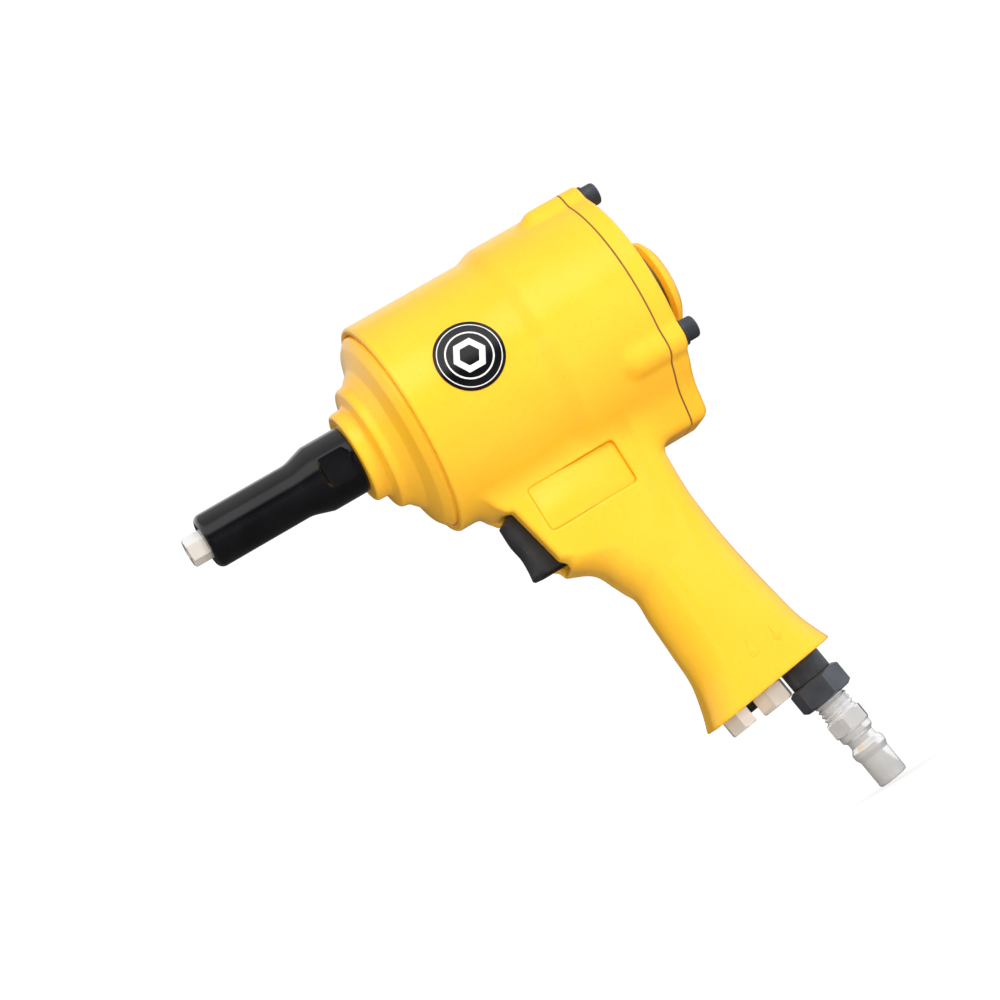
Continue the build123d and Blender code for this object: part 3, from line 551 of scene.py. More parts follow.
def cut_flat(obj, station, keep_front, floor_z=-90.0, bore=0.0):
    """Cuts the barrel part of a piece square at a station and closes it, round a bore if it has one."""
    work = bmesh.new()
    work.from_mesh(obj.data)
    verts = [v for v in work.verts if v.co.z > floor_z * MM]
    chosen = set(verts)
    edges = [e for e in work.edges if all(v in chosen for v in e.verts)]
    faces = [f for f in work.faces if all(v in chosen for v in f.verts)]
    away = -1 if keep_front else 1
    cut = bmesh.ops.bisect_plane(work, geom=verts + edges + faces, dist=1e-7, plane_co=(station * MM, 0, 0),
                                 plane_no=(away, 0, 0), clear_outer=True)
    rim = [e for e in cut["geom_cut"] if isinstance(e, bmesh.types.BMEdge)]
    filled = bmesh.ops.triangle_fill(work, edges=rim, use_beauty=True)["geom"]
    over_bore = [f for f in filled if isinstance(f, bmesh.types.BMFace)
                 and math.hypot(*f.calc_center_median().yz) < bore * MM]
    bmesh.ops.delete(work, geom=over_bore, context="FACES_ONLY")
    bmesh.ops.recalc_face_normals(work, faces=work.faces)
    work.to_mesh(obj.data)
    work.free()
    obj.data.polygons.foreach_set("use_smooth", np.ones(len(obj.data.polygons), bool))
    obj.data.set_sharp_from_angle(angle=math.radians(50))
    return obj


# ---------------------------------------------------------------- materials
def material(name):
    """Empty node material, its tree and its Principled shader."""
    m = bpy.data.materials.new(name)
    m.use_nodes = True
    return m, m.node_tree, m.node_tree.nodes["Principled BSDF"]


def feed(node, values):
    """Fills a node's inputs: another node's output is linked, and any other value is set."""
    for name, value in values.items():
        if isinstance(value, bpy.types.NodeSocket):
            node.id_data.links.new(value, node.inputs[name])
        else:
            node.inputs[name].default_value = value
    return node


def add(tree, kind, values, **settings):
    """New shader node with its settings and inputs."""
    node = tree.nodes.new(f"ShaderNode{kind}")
    for name, value in settings.items():
        setattr(node, name, value)
    return feed(node, values)


def noise(tree, scale, detail):
    """Noise in the part's own coordinates; scale is features per metre."""
    place = tree.nodes.new("ShaderNodeTexCoord").outputs["Object"]
    return add(tree, "TexNoise", {"Vector": place, "Scale": scale, "Detail": detail}).outputs["Fac"]


def ramp(tree, source, stops):
    """Colour ramp from (position, colour) stops."""
    made = add(tree, "ValToRGB", {"Fac": source})
    elements = made.color_ramp.elements
    while len(elements) < len(stops):
        elements.new(0.5)
    for element, (position, colour) in zip(elements, stops):
        element.position = position
        element.color = (*colour, 1)
    return made.outputs["Color"]


def bump(tree, shader, layers):
    """Stacked bumps from (height source, strength, distance in mm)."""
    last = None
    for source, strength, distance in layers:
        made = add(tree, "Bump", {"Height": source, "Strength": strength, "Distance": distance * MM})
        if last:
            feed(made, {"Normal": last})
        last = made.outputs["Normal"]
    feed(shader, {"Normal": last})


def map_range(tree, source, to=(0, 1), span=(0, 1)):
    made = add(tree, "MapRange", {
        "Value": source, "From Min": span[0], "From Max": span[1], "To Min": to[0], "To Max": to[1]})
    return made.outputs["Result"]


def edge_factor(tree, low=0.52, high=0.6):
    """1 on convex edges, from the mesh's pointiness."""
    place = tree.nodes.new("ShaderNodeNewGeometry")
    return map_range(tree, place.outputs["Pointiness"], span=(low, high))


def mixed(tree, factor, first, second, blend="MIX"):
    """Two colours mixed; each is an output or a tuple."""
    first, second = [(*c, 1) if isinstance(c, tuple) else c for c in (first, second)]
    made = add(tree, "Mix", {"Factor": factor, 6: first, 7: second}, data_type="RGBA", blend_type=blend)
    return made.outputs[2]


def enamel():
    m, tree, shader = material("yellow_enamel")
    tone = ramp(tree, noise(tree, 22, 4), [(0.3, (0.975, 0.52, 0.020)), (0.7, (1.0, 0.57, 0.032))])
    speck = ramp(tree, noise(tree, 900, 2), [(0.32, (0.90, 0.50, 0.008)), (0.42, (1, 1, 1))])
    feed(shader, {
        "Base Color": mixed(tree, 0.12, tone, speck, "MULTIPLY"),
        "Roughness": map_range(tree, noise(tree, 60, 3), (0.24, 0.36)),
        "Coat Weight": 0.25, "Coat Roughness": 0.18, "Subsurface Weight": 0.08,
        "Subsurface Radius": (0.004, 0.002, 0.0005), "Subsurface Scale": 0.6})
    bump(tree, shader, [(noise(tree, 55, 2), 0.12, 0.5), (noise(tree, 620, 2), 0.10, 0.06)])
    return m


def black_lacquer():
    m, tree, shader = material("gloss_black")
    tone = ramp(tree, noise(tree, 80, 4), [(0.35, (0.002, 0.002, 0.003)), (0.7, (0.006, 0.006, 0.008))])
    feed(shader, {
        "Base Color": tone, "Roughness": map_range(tree, noise(tree, 300, 3), (0.10, 0.22)),
        "Specular IOR Level": 0.5, "Coat Weight": 0.6, "Coat Roughness": 0.06})
    bump(tree, shader, [(noise(tree, 240, 2), 0.08, 0.05)])
    return m


def metal(name, dark, light, rough, grain, stretch=(1, 1, 1), metallic=1.0):
    """Plated or bare metal: tone, roughness and fine machining grain from noise."""
    m, tree, shader = material(name)
    tone = ramp(tree, noise(tree, 140, 4), [(0.3, dark), (0.7, light)])
    # The base colour goes to a lighter tone on convex edges, found from the mesh's pointiness.
    feed(shader, {
        "Base Color": mixed(tree, edge_factor(tree), tone, tuple(min(1, c * 1.25 + 0.03) for c in light)),
        "Roughness": map_range(tree, noise(tree, 420, 3), rough), "Metallic": metallic})
    place = tree.nodes.new("ShaderNodeTexCoord").outputs["Object"]
    scaled = add(tree, "Mapping", {"Vector": place, "Scale": stretch}).outputs["Vector"]
    fine = add(tree, "TexNoise", {"Vector": scaled, "Scale": 900})
    bump(tree, shader, [(fine.outputs["Fac"], grain, 0.05)])
    return m


def moulded(name, dark, light, rough, grain=0.35, grain_scale=1500):
    """Moulded plastic, rubber or fibre with a fine grain."""
    m, tree, shader = material(name)
    tone = ramp(tree, noise(tree, 90, 4), [(0.3, dark), (0.7, light)])
    # The base colour goes to a lighter tone on convex edges, found from the mesh's pointiness.
    edge = edge_factor(tree, 0.53, 0.62)
    feed(shader, {"Base Color": mixed(tree, edge, tone, tuple(c * 1.5 + 0.01 for c in light)),
                  "Roughness": map_range(tree, noise(tree, 500, 3), rough)})
    bump(tree, shader, [(noise(tree, grain_scale, 2), grain, 0.05)])
    return m


def badge_print():
    m, tree, shader = material("badge_print")
    feed(shader, {
        "Base Color": ramp(tree, noise(tree, 400, 3), [(0.3, (0.70, 0.70, 0.71)), (0.7, (0.86, 0.86, 0.87))]),
        "Roughness": map_range(tree, noise(tree, 700, 2), (0.25, 0.38))})
    return m


ENAMEL = enamel()
BLACK = black_lacquer()
BADGE_PRINT = badge_print()
MATERIALS = {
    "enamel_yellow": ENAMEL,
    "gloss_black": BLACK,
    "nickel": metal("nickel", (0.86, 0.78, 0.71), (0.98, 0.93, 0.88), (0.14, 0.26), 0.1, metallic=0.4),
    "chrome": metal("chrome", (0.84, 0.85, 0.87), (0.94, 0.95, 0.97), (0.04, 0.10), 0.04, metallic=0.55),
    "black_steel": metal("black_oxide", (0.066, 0.073, 0.090), (0.120, 0.133, 0.160), (0.26, 0.40), 0.2,
                         metallic=0.65),
    "spring_steel": metal("spring_steel", (0.32, 0.32, 0.33), (0.46, 0.46, 0.48), (0.22, 0.36), 0.15),
    "trigger_plastic": moulded("trigger_plastic", (0.018, 0.019, 0.022), (0.032, 0.033, 0.038), (0.42, 0.58)),
    "rubber": moulded("rubber", (0.012, 0.012, 0.012), (0.025, 0.025, 0.025), (0.55, 0.7)),
    "gasket": moulded("gasket_fibre", (0.09, 0.036, 0.012), (0.16, 0.070, 0.026), (0.7, 0.85), 0.5, 2400),
    "aluminium": metal("turned_aluminium", (0.66, 0.67, 0.69), (0.80, 0.81, 0.83), (0.22, 0.34), 0.2,
                       (6, 1, 1)),
    "tool_steel": metal("ground_steel", (0.40, 0.40, 0.42), (0.56, 0.56, 0.58), (0.18, 0.30), 0.15,
                        (6, 1, 1)),
    "brass": metal("turned_brass", (0.62, 0.42, 0.16), (0.80, 0.60, 0.28), (0.18, 0.30), 0.15, (6, 1, 1)),
    "sintered": metal("sintered_bronze", (0.16, 0.10, 0.05), (0.34, 0.24, 0.13), (0.5, 0.7), 0.9),
    "gauze": metal("gauze", (0.42, 0.42, 0.40), (0.62, 0.62, 0.60), (0.3, 0.45), 0.6),
    "badge": BLACK,
}

SLOT_OF = {row["node"]: row["material_slot"] for row in frame["record"]["subparts"]}
for name, obj in NODES.items():
    obj.data.materials.clear()
    obj.data.materials.append(MATERIALS[SLOT_OF[name]])
    obj.data.polygons.foreach_set("use_smooth", np.ones(len(obj.data.polygons), bool))
    obj.data.set_sharp_from_angle(angle=math.radians(30))


def dress(obj, slot, body="casing", replaces=None, finish=None):
    """Material picked by slot name or the finish given, the body the piece hangs under, and hides the CAD
    nodes that it stands for.
    """
    obj.data.materials.clear()
    obj.data.materials.append(finish or MATERIALS[slot])
    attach(obj, body)
    if replaces:
        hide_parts(*replaces)
    return obj


# ---------------------------------------------------------------- pieces
NET_STEP = 0.8


def make_casing():
    low = np.array([-188.0, -49.0, CASING_LOW[2] - 2.0])
    high = np.array([SEAM_X + 2.5, 49.0, 50.5])
    casing = cast_piece("casing_cast", casing_field, low, high, NET_STEP)
    cut_flat(cut_flat(casing, GASKET_X + 0.1, True, bore=REAR_BORE_R), MOUTH_X, False)
    mouth = lathe("casing_mouth", [
        (MOUTH_X, CYLINDER_R, 0.0), (SEAM_X + 0.4, CYLINDER_R, 2.4), (SEAM_X + 0.4, SEAM_R + 0.35, 0.25),
        (SEAM_X - 0.9, SEAM_R + 0.3, 0.1), (SEAM_X - 1.0, SEAM_R + 0.04, 0.05),
        (MOUTH_X, SEAM_R + 0.04, 0.0)],
        segments=256, steps=8)
    dress(joined("casing_cast", [casing, mouth]), "enamel_yellow", replaces=["main_casing"])
    # label panel in its bed on the left side
    half_long, half_tall = LABEL_LONG / 2, LABEL_TALL / 2
    outline = rounded([(-half_long, -half_tall), (half_long, -half_tall), (half_long, half_tall),
                       (-half_long, half_tall)], [1.6] * 4, 6)
    panel = raised_plate("label_panel", outline, (LABEL_X, LABEL_Z), BLOCK_HALF - 0.75,
                         BLOCK_HALF - 0.03, 0.12)
    dress(panel, "enamel_yellow")


def raised_plate(name, outline, place, bottom, top, bevel, turn=0.0):
    """Plate facing +Y with a bevelled front edge, from an outline in X and Z."""
    a = math.radians(turn)
    points = []
    for level, inset in ((bottom, 0.0), (top - bevel, 0.0), (top - bevel * 0.3, bevel * 0.3), (top, bevel)):
        centre = np.mean(outline, axis=0)
        for p in outline:
            spot = np.array(p, float)
            away = spot - centre
            spot = spot - away / max(np.linalg.norm(away), 1e-6) * inset
            x = place[0] + spot[0] * math.cos(a) - spot[1] * math.sin(a)
            z = place[1] + spot[0] * math.sin(a) + spot[1] * math.cos(a)
            points.append((x, level, z))
    n = len(outline)
    faces = [tuple(range(n)), tuple(range(3 * n, 4 * n))[::-1]]
    for i in range(3):
        for k in range(n):
            m = (k + 1) % n
            faces.append((i * n + k, (i + 1) * n + k, (i + 1) * n + m, i * n + m))
    return fix_normals(new_object(name, points, faces, 40.0))


def make_oil_mark():
    """Droplet and arrow cast proud of the grip, above the inlet."""
    drop = []
    for k in range(28):
        a = math.radians(-250 + k * 320 / 27)
        drop.append((2.1 * math.cos(a), 2.1 * math.sin(a)))
    drop.append((0.0, 5.0))
    arrow = [(-0.45, 3.2), (0.45, 3.2), (0.45, -1.2), (2.0, -1.2), (0.0, -4.0), (-2.0, -1.2), (-0.45, -1.2)]
    turn = -math.degrees(TILT)
    top = eased(np.array([-133.0]), GRIP_HALVES)[0] + 0.25
    first = raised_plate("oil_drop", drop, (-151.6, -134.6), top - 1.2, top, 0.2, turn)
    second = raised_plate("oil_arrow", arrow, (-161.7, -132.7), top - 1.2, top, 0.15, turn)
    dress(first, "enamel_yellow")
    dress(second, "enamel_yellow")


def make_cap():
    cap = lathe("cap_bell", [
        (-68.2, 11.0, 0.3), (-68.2, 17.6, 1.4), (-73.8, 17.9, 1.4), (-74.9, 23.9, 1.6), (-78.2, 24.5, 3.0),
        (-82.3, 28.6, 2.6), (-84.7, 36.0, 4.0), (-87.2, 38.9, 1.0), (SEAM_X - 0.1, SEAM_R - 0.4, 0.2),
        (SEAM_X - 1.0, SEAM_R - 0.35, 0.1), (SEAM_X - 1.1, SEAM_R - 0.05, 0.1),
        (CAP_BACK, SEAM_R - 0.05, 0.2), (CAP_BACK, 33.0, 0.5),
        (-92.0, 33.0, 2.0), (-92.0, 15.0, 2.0), (CAP_BACK, 14.0, 1.0), (CAP_BACK, 8.05, 0.2),
        (-84.4, 8.05, 0.1), (-84.4, 11.0, 0.1)], segments=192, steps=6)
    dress(cap, "enamel_yellow", replaces=["front_cap"])


def make_nose():
    """Nose housing: turned profile, with the spanner flats cut as a limit on its radius."""
    outline = rounded([
        (NOSE_HIGH[0], 4.5), (NOSE_HIGH[0], 10.5), (-45.5, 10.5), (-53.5, 13.0), (-68.2, 13.0),
        (-68.2, 11.0), (NOSE_LOW[0], 11.0), (NOSE_LOW[0], 8.7), (-16.5, 8.7), (-16.5, 4.5)],
        [0.4, 4.2, 12.0, 5.0, 0.3, 0.2, 0.3, 0.2, 0.5, 0.2], 10)
    fine = []
    for i, (a, r) in enumerate(outline):
        after = outline[(i + 1) % len(outline)]
        fine.append((a, r))
        gap = abs(after[0] - a)
        if r > 9 and after[1] > 9 and gap > 1.0 and a > -68.2:
            for k in range(1, int(gap / 0.5)):
                t = k / int(gap / 0.5)
                fine.append((a + (after[0] - a) * t, r + (after[1] - r) * t))
    segments = 192
    angle = np.arange(segments) * 2 * math.pi / segments
    facing = np.abs(np.cos(angle - math.radians(NOSE_FLAT_TURN)))
    rings = []
    for a, r in fine:
        if r > 11.2 and -66.2 < a < -54.2:
            limit = 11.5 / np.maximum(facing, 1e-3)
            end_slope = max(0.0, 1.2 - min(a + 66.2, -54.2 - a)) * 0.9
            rings.append((a, np.minimum(r, limit + end_slope)))
        else:
            rings.append((a, r))
    points, faces = turned_mesh(rings, segments, BARREL)
    nose = fix_normals(new_object("nose_sleeve", points, faces, 28.0))
    dress(nose, "gloss_black", replaces=["nose_housing"])


def make_nosepiece():
    head = hex_piece("nosepiece_head", 10.0, NOSE_HIGH[0], 0.0, 1.95, BARREL, 15, chamfer_start=False)
    mouth = lathe("nosepiece_stem", [
        (NOSE_HIGH[0] + 0.5, 1.6, 0.1), (NOSE_HIGH[0] + 0.5, 4.4, 0.1), (-16.5, 4.4, 0.3), (-17.0, 3.6, 0.2),
        (-20.0, 2.6, 0.2), (-20.0, 1.6, 0.1)])
    dress(joined("nosepiece_body", [head, mouth]), "nickel", replaces=["nosepiece"])


def make_cover():
    low = np.array([COVER_LOW[0] - 2.0, -50.0, -57.0])
    high = np.array([COVER_FRONT + 5.0, 50.0, 51.0])
    cover = cast_piece("cover_cast", cover_field, low, high, NET_STEP * 0.9)
    dress(cut_flat(cover, COVER_FRONT - 0.1, False), "enamel_yellow", replaces=["rear_cover"])


def make_gasket():
    """Gasket sheet with the lobed outline, standing a hair inside it."""
    segments = 360
    angle = np.arange(segments) * 2 * math.pi / segments
    radius = np.full(segments, 42.0)
    for _ in range(60):
        radius = radius - lobes(radius * np.cos(angle), radius * np.sin(angle)) * 0.7
    radius = radius - 0.15
    points, faces = turned_mesh([(COVER_FRONT, REAR_BORE_R + 0.2), (COVER_FRONT, radius), (GASKET_X, radius),
                                 (GASKET_X, REAR_BORE_R + 0.2)], segments, BARREL)
    gasket = fix_normals(new_object("gasket_sheet", points, faces, 40.0))
    dress(gasket, "gasket", replaces=["rear_gasket"])


def make_screws():
    """Socket head screws with knurled heads and hexagon sockets, and their washers."""
    for index, (y, z) in enumerate(boss_places()):
        place = axis_frame((HEAD_FRONT, y, z), (-1, 0, 0))
        segments = 240
        angle = np.arange(segments) * 2 * math.pi / segments
        knurl = 0.10 * np.abs(np.sin(angle * 20))
        head_r, head = 4.25, HEAD_FRONT - HEAD_BACK
        socket = hex_radius(4.0, segments)
        rings = [(0.0, 2.5), (0.0, head_r - 0.3), (0.3, head_r - 0.10), (0.6, head_r - 0.10 + knurl),
                 (head - 1.2, head_r - 0.10 + knurl), (head - 0.8, head_r - 0.05),
                 (head - 0.25, head_r - 0.3), (head, head_r - 0.7), (head, 2.75), (head - 0.3, socket),
                 (head - 2.6, socket), (head - 3.2, 0.01), (-16.5, 0.01), (-16.5, 2.3), (-16.0, 2.5)]
        points, faces = turned_mesh(rings, segments, place)
        screw = fix_normals(new_object(f"cover_screw_{index + 1}", points, faces, 30.0))
        dress(screw, "black_steel", replaces=["cover_screws"] if index == 0 else None)
        washer = lathe(f"cover_washer_{index + 1}", [
            (0.0, 2.5, 0.1), (0.0, 5.0, 0.2), (-1.0, 5.0, 0.2), (-1.0, 2.5, 0.1)], place)
        dress(washer, "black_steel", replaces=["cover_washers"] if index == 0 else None)


def make_deflector():
    end = DEFLECTOR_LOW[0]
    front = DEFLECTOR_FRONT
    disc = lathe("deflector_disc", [
        (front, 3.3, 0.2), (front, 15.0, 0.8), (front - 1.3, 17.4, 0.5), (-199.9, 17.4, 1.5),
        (-201.9, 14.2, 6.0), (end, 8.0, 3.0),
        (end, 6.2, 0.3), (end + 2.4, 6.2, 0.2), (end + 2.4, 3.3, 0.2)], segments=160, steps=8)
    arc = math.radians(150)
    steps = 48
    points = []
    for k in range(steps + 1):
        a = -arc / 2 + arc * k / steps
        for x, r in ((front - 1.5, 15.7), (front - 1.5, 17.1), (-189.5, 17.1), (-189.5, 15.7)):
            points.append((x, -r * math.cos(a), r * math.sin(a)))
    faces = [(0, 1, 2, 3), tuple(range(steps * 4, steps * 4 + 4))[::-1]]
    for k in range(steps):
        for i in range(4):
            j = (i + 1) % 4
            faces.append((k * 4 + i, k * 4 + j, k * 4 + 4 + j, k * 4 + 4 + i))
    skirt = fix_normals(new_object("deflector_skirt", points, faces, 35.0))
    dress(joined("deflector_shell", [disc, skirt]), "enamel_yellow", "deflector", ["exhaust_deflector"])
    place = axis_frame((end + 2.2, 0, 0), (-1, 0, 0))
    segments = 192
    socket = hex_radius(4.0, segments)
    rings = [(-20.0, 0.01), (-20.0, 3.0), (0.0, 3.0), (0.0, 5.2), (0.8, 5.4), (1.9, 4.9), (2.6, 4.0),
             (2.6, 2.7), (2.3, socket), (0.4, socket), (0.2, 0.01)]
    points, faces = turned_mesh(rings, segments, place)
    dress(fix_normals(new_object("deflector_bolt", points, faces, 30.0)), "black_steel",
          replaces=["deflector_screw"])


def make_springs():
    """The springs that a moving piece squeezes, as copies of their CAD coils in spring steel."""
    for node, joint, travel in (("return_spring", "piston_stroke", 14.0),
                                ("valve_spring", "valve_slide", 2.2)):
        coil = NODES[node].copy()
        coil.name = f"{node}_coil"
        coil.data = NODES[node].data.copy()
        bpy.context.scene.collection.objects.link(coil)
        dress(coil, "spring_steel", replaces=[node])
        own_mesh(coil)


def make_badge():
    """Round foil badge bent to the cylinder: black field, bright rim and a hexagon sign."""
    centre = (BADGE_LOW + BADGE_HIGH) / 2
    radius = (BADGE_HIGH[0] - BADGE_LOW[0]) / 2

    def bent(points, lift):
        """Flat (across, up) points laid on the cylinder."""
        laid = []
        for across, up in points:
            z = centre[2] + up
            r = CYLINDER_R - 0.1 + lift
            laid.append((centre[0] - across, math.sqrt(r * r - z * z), z))
        return laid

    def band(name, inner, outer, low, high, finish, sides=0, turn=0.0):
        segments = 144
        angle = np.arange(segments) * 2 * math.pi / segments
        shape = np.ones(segments)
        if sides:
            shape = hex_radius(2.0, segments, turn)
        points = []
        spans = max(1, int((outer - inner) / 1.0))
        ramp_up = [inner + (outer - inner) * k / spans for k in range(spans + 1)]
        levels = [(r, low) for r in ramp_up] + [(outer, high - 0.04)]
        levels += [(r, high) for r in [outer - 0.06] + ramp_up[-2:0:-1] + [inner]]
        for r, lift in levels:
            points += bent(np.stack([r * shape * np.cos(angle), r * shape * np.sin(angle)], axis=1), lift)
        faces = loop_faces(len(levels), segments)
        return dress(fix_normals(new_object(name, points, faces, 40.0)), "badge", finish=finish)

    field = band("badge_field", 0.01, radius, -0.3, 0.42, BLACK)
    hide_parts("badge_plate")
    band("badge_rim", radius - 1.5, radius - 1.15, 0.36, 0.50, BADGE_PRINT)
    band("badge_nut", 3.4, 5.6, 0.36, 0.50, BADGE_PRINT, 6, 30)
    band("badge_ring", 8.2, 8.8, 0.36, 0.50, BADGE_PRINT)


def curve(points, steps=6):
    """Smooth curve through the points, without its last point."""
    points = [np.array(p, float) for p in points]
    ends = [2 * points[0] - points[1]] + points + [2 * points[-1] - points[-2]]
    result = []
    for i in range(len(points) - 1):
        a, b, c, d = ends[i:i + 4]
        for k in range(steps):
            t = k / steps
            result.append(0.5 * (2 * b + (c - a) * t + (2 * a - 5 * b + 4 * c - d) * t ** 2
                                 + (3 * b - a - 3 * c + d) * t ** 3))
    return result


TRIGGER_FACE = [(-100.7, -48.9), (-100.8, -56.3), (-101.8, -62.3), (-101.7, -67.3), (-101.2, -71.4)]
TRIGGER_OUTLINE = curve(TRIGGER_FACE) + rounded(
    [(-101.2, -71.4), (-102.0, -72.35), (-116.9, -72.35), (-116.9, -66.9), (-112.3, -48.3), (-102.6, -47.2)],
    [0.0, 0.8, 0.8, 1.0, 1.2, 1.0], 4)
TRIGGER_INSIDE = [(-104.7, -58.3), (-105.0, -66.3), (-104.2, -80.3), (-130.0, -80.3), (-130.0, -56.7),
                  (-106.3, -56.7)]


def trigger_field(x, y, z):
    """Trigger: rounded finger face, hollow behind, with its pin hole."""
    side = np.abs(y) - 7.2
    soft = 3.4 * smooth_step(x, -106.0, -102.0) + 0.8
    body = smooth_max(polygon_2d(x, z, TRIGGER_OUTLINE), side, soft)
    hollow = np.maximum(polygon_2d(x, z, TRIGGER_INSIDE), side + 1.9)
    body = smooth_max(body, -hollow, 0.8)
    pin = np.hypot(x - (PIN_LOW[0] + PIN_HIGH[0]) / 2, z - (PIN_LOW[2] + PIN_HIGH[2]) / 2)
    return np.maximum(body, 1.65 - pin)


def make_trigger():
    step = 0.3
    piece = cast_piece("trigger_moulded", trigger_field, TRIGGER_LOW - 1.5, TRIGGER_HIGH + 1.5, step)
    dress(piece, "trigger_plastic", "trigger", ["trigger"])


def make_inlet():
    """Adapter, hose plug and the plugs under the base."""
    collar = lathe("adapter_collar", [
        (-13.0, 4.6, 0.2), (-13.0, 6.4, 0.6), (0.0, 6.4, 0.1), (0.0, 8.2, 0.5), (7.8, 8.2, 0.5),
        (7.8, 4.6, 0.1)], INLET)
    nut = hex_piece("adapter_hex", 19.0, 7.8, 17.2, 6.6, INLET, -26.5)
    dress(joined("adapter_body", [collar, nut]), "black_steel", replaces=["inlet_adapter"])
    thread = thread_piece("plug_thread", 6.5, 3.2, 8.4, 24.6, 1.34 * 1.35, 0.75, INLET)
    collar = hex_piece("plug_hex", 14.0, 24.6, 31.0, 3.55, INLET, 10)
    tip = lathe("plug_tip", [
        (30.6, 3.2, 0.1), (30.6, 6.6, 0.3), (31.8, 6.6, 0.4), (33.2, 6.6, 0.6), (34.4, 5.35, 0.8),
        (36.8, 5.35, 0.8), (38.6, 6.75, 0.8), (40.6, 6.75, 0.8), (42.6, 5.9, 1.0),
        (PLUG_END, 5.9, 0.9), (PLUG_END, 3.2, 0.3)], INLET, segments=144, steps=6)
    dress(joined("hose_plug", [thread, collar, tip]), "chrome", replaces=["air_plug"])
    place = base_frame(-137.2)
    head = hex_piece("passage_plug_head", 10.0, 0.0, 6.6, 0.01, place, 22, chamfer_start=False)
    dress(head, "nickel", replaces=["passage_plug"])
    place = base_frame(-152.2)
    head = hex_piece("oil_plug_head", 12.0, 0.0, 7.8, 0.01, place, 8)
    dress(head, "nickel", replaces=["oil_plug"])
    place = base_frame(-145.0, -5.5)
    stub = thread_piece("set_screw_thread", 2.5, 0.01, -7.0, 3.6, 0.8, 0.4, place)
    dress(stub, "black_steel", replaces=["set_screw"])


make_casing()
make_oil_mark()
make_cap()
make_nose()
make_nosepiece()
make_cover()
make_gasket()
make_screws()
make_deflector()
make_springs()
make_badge()
make_trigger()
make_inlet()


# ---------------------------------------------------------------- camera, light and floor
def unit(v):
    v = np.asarray(v, float)
    return v / np.linalg.norm(v)


def make_camera():
    """The gun seen from its left side, a little from the front, with the nose low at the left."""
    yaw, pitch, roll = math.radians(11.44), math.radians(-7.5), math.radians(30.49)
    distance, aim = 908.0, np.array([-107.3, 0.0, 0.0])
    drop = 39.71
    back = np.array([math.sin(yaw), math.cos(yaw) * math.cos(pitch), math.cos(yaw) * math.sin(pitch)])
    right = unit(np.dot((1, 0, 0), back) * back - np.array([1.0, 0, 0]))
    up = np.cross(back, right)
    spot = aim - drop * up + distance * back
    across = math.cos(roll) * right - math.sin(roll) * up
    above = math.sin(roll) * right + math.cos(roll) * up
    data = bpy.data.cameras.new("camera")
    data.sensor_width = 36.0
    data.lens = 89.89
    data.clip_start = 0.01
    camera = bpy.data.objects.new("camera", data)
    pose = Matrix.Identity(4)
    for i in range(3):
        pose[i][0], pose[i][1], pose[i][2], pose[i][3] = across[i], above[i], back[i], spot[i] * MM
    camera.matrix_world = pose
    bpy.context.scene.collection.objects.link(camera)
    bpy.context.scene.camera = camera


def area_light(name, place, target, size, power, colour=(1, 1, 1)):
    """Soft round light that lights the piece without showing in its reflections."""
    data = bpy.data.lights.new(name, "AREA")
    data.shape = "DISK"
    data.size = size
    data.energy = power
    data.color = colour
    light = bpy.data.objects.new(name, data)
    light.location = place
    aim = Vector(target) - Vector(place)
    light.rotation_euler = aim.to_track_quat("-Z", "Y").to_euler()
    light.visible_glossy = False
    bpy.context.scene.collection.objects.link(light)


def make_world():
    """White for the view itself; for the light, bright above and behind and dark round the sides."""
    world = bpy.data.worlds.new("studio")
    bpy.context.scene.world = world
    world.use_nodes = True
    tree = world.node_tree
    place = tree.nodes.new("ShaderNodeTexCoord").outputs["Generated"]
    way = add(tree, "SeparateXYZ", {"Vector": place}).outputs
    height = ramp(tree, map_range(tree, way["Z"], span=(-1, 1)),
                  [(0.0, (0.42, 0.42, 0.42)), (0.30, (0.30, 0.30, 0.30)), (0.40, (0.05, 0.05, 0.06)),
                   (0.60, (0.04, 0.04, 0.05)), (0.68, (1.0, 1.0, 1.0)), (0.86, (1.0, 1.0, 1.0)),
                   (0.92, (0.45, 0.45, 0.45)), (1.0, (0.60, 0.60, 0.60))])
    along = ramp(tree, map_range(tree, way["X"], span=(-1, 1)),
                 [(0.0, (1.0, 1.0, 1.0)), (0.12, (0.75, 0.75, 0.75)), (0.25, (0.0, 0.0, 0.0)),
                  (0.97, (0.0, 0.0, 0.0)), (1.0, (0.35, 0.35, 0.35))])
    light = feed(tree.nodes["Background"], {
        "Color": mixed(tree, 1.0, height, along, "LIGHTEN"), "Strength": 0.85}).outputs[0]
    view = add(tree, "Background", {"Color": (1, 1, 1, 1), "Strength": 1.05}).outputs[0]
    seen = tree.nodes.new("ShaderNodeLightPath").outputs["Is Camera Ray"]
    both = add(tree, "MixShader", {"Fac": seen, 1: light, 2: view})
    feed(tree.nodes["World Output"], {"Surface": both.outputs[0]})


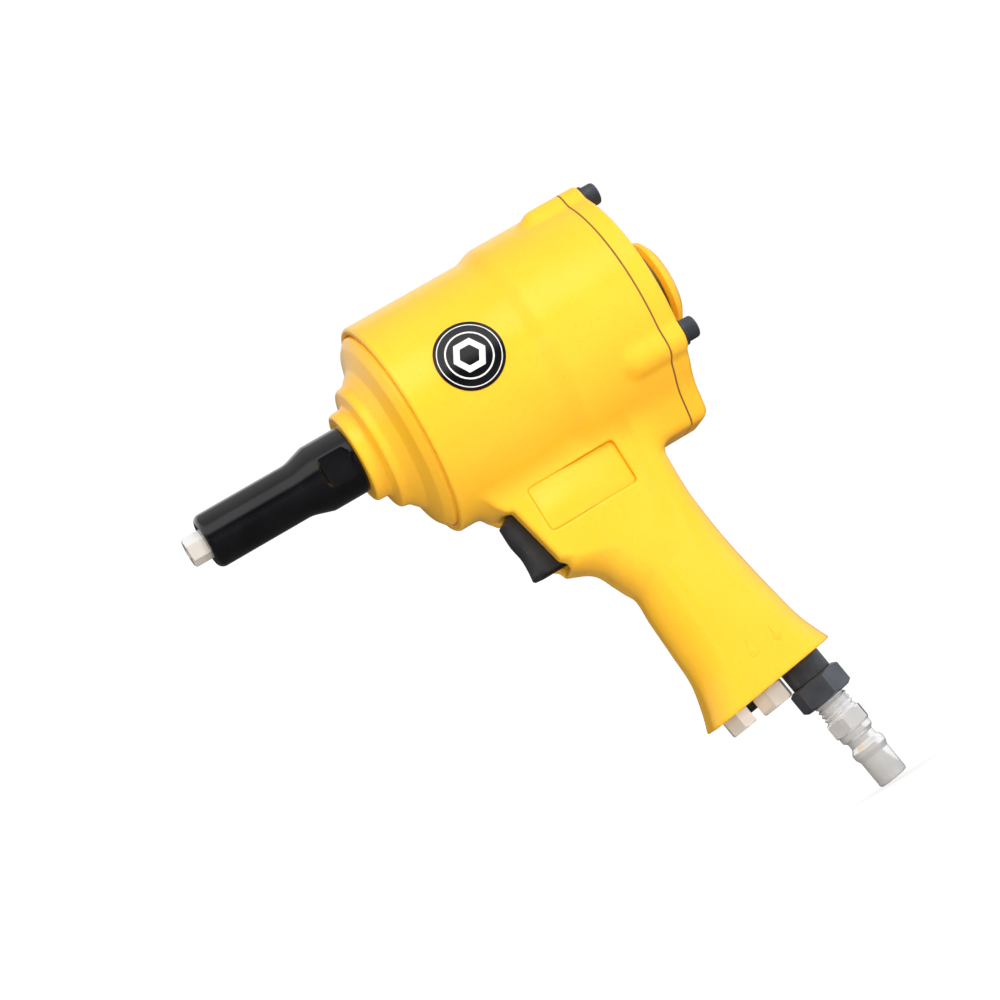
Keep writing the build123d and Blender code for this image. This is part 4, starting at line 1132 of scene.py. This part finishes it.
def make_floor():
    """Pale floor that the plug's tip stands on; it reads white, with a faint shadow at the tip."""
    level = CAD_BOUNDS[0][2] - 0.0005
    segments, radius = 96, 40.0
    points = [(0, 0, 0)]
    for k in range(segments):
        a = 2 * math.pi * k / segments
        points.append((radius * math.cos(a), radius * math.sin(a), 0))
    mesh = bpy.data.meshes.new("floor")
    mesh.from_pydata(points, [], [(0, k + 1, (k + 1) % segments + 1) for k in range(segments)])
    floor = bpy.data.objects.new("floor", mesh)
    tip = BASE_POINT + BASE_AXIS * PLUG_END
    floor.location = (tip[0] * MM, 0, level)
    bpy.context.scene.collection.objects.link(floor)
    m, tree, shader = material("floor")
    rays = tree.nodes.new("ShaderNodeLightPath").outputs
    bounce = add(tree, "Math", {0: rays["Is Diffuse Ray"], 1: 0.55}, operation="MULTIPLY")
    feed(shader, {
        "Base Color": mixed(tree, rays["Is Glossy Ray"], (0.34, 0.34, 0.34), (0.05, 0.05, 0.05)),
        "Roughness": 0.7, "Emission Color": (1.0, 0.88, 0.74, 1), "Emission Strength": bounce.outputs[0]})
    glow = add(tree, "Emission", {"Color": (1, 1, 1, 1), "Strength": 1.05}).outputs[0]
    place = tree.nodes.new("ShaderNodeTexCoord").outputs["Object"]
    away = add(tree, "VectorMath", {0: place}, operation="LENGTH").outputs["Value"]
    fade = add(tree, "MapRange", {"Value": away, "From Min": 0.0, "From Max": 0.035, "To Min": 0.8},
               interpolation_type="SMOOTHSTEP").outputs["Result"]
    seen = add(tree, "Math", {0: fade, 1: rays["Is Camera Ray"]}, operation="MULTIPLY").outputs[0]
    both = add(tree, "MixShader", {"Fac": seen, 1: shader.outputs["BSDF"], 2: glow})
    feed(tree.nodes["Material Output"], {"Surface": both.outputs[0]})
    mesh.materials.append(m)


make_camera()
make_world()
make_floor()
area_light("key", (-0.15, 1.0, 0.65), (-0.12, 0, -0.02), 0.8, 7)
area_light("fill", (-0.6, 1.1, 0.02), (-0.14, 0, -0.05), 0.4, 3.6)
area_light("low", (0.15, 0.9, -0.04), (-0.12, 0, -0.02), 0.3, 2.4, (1.0, 0.88, 0.74))
area_light("rim", (-0.5, -0.7, 0.6), (-0.14, 0, 0), 0.6, 3)
bpy.context.scene.view_settings.view_transform = "Standard"
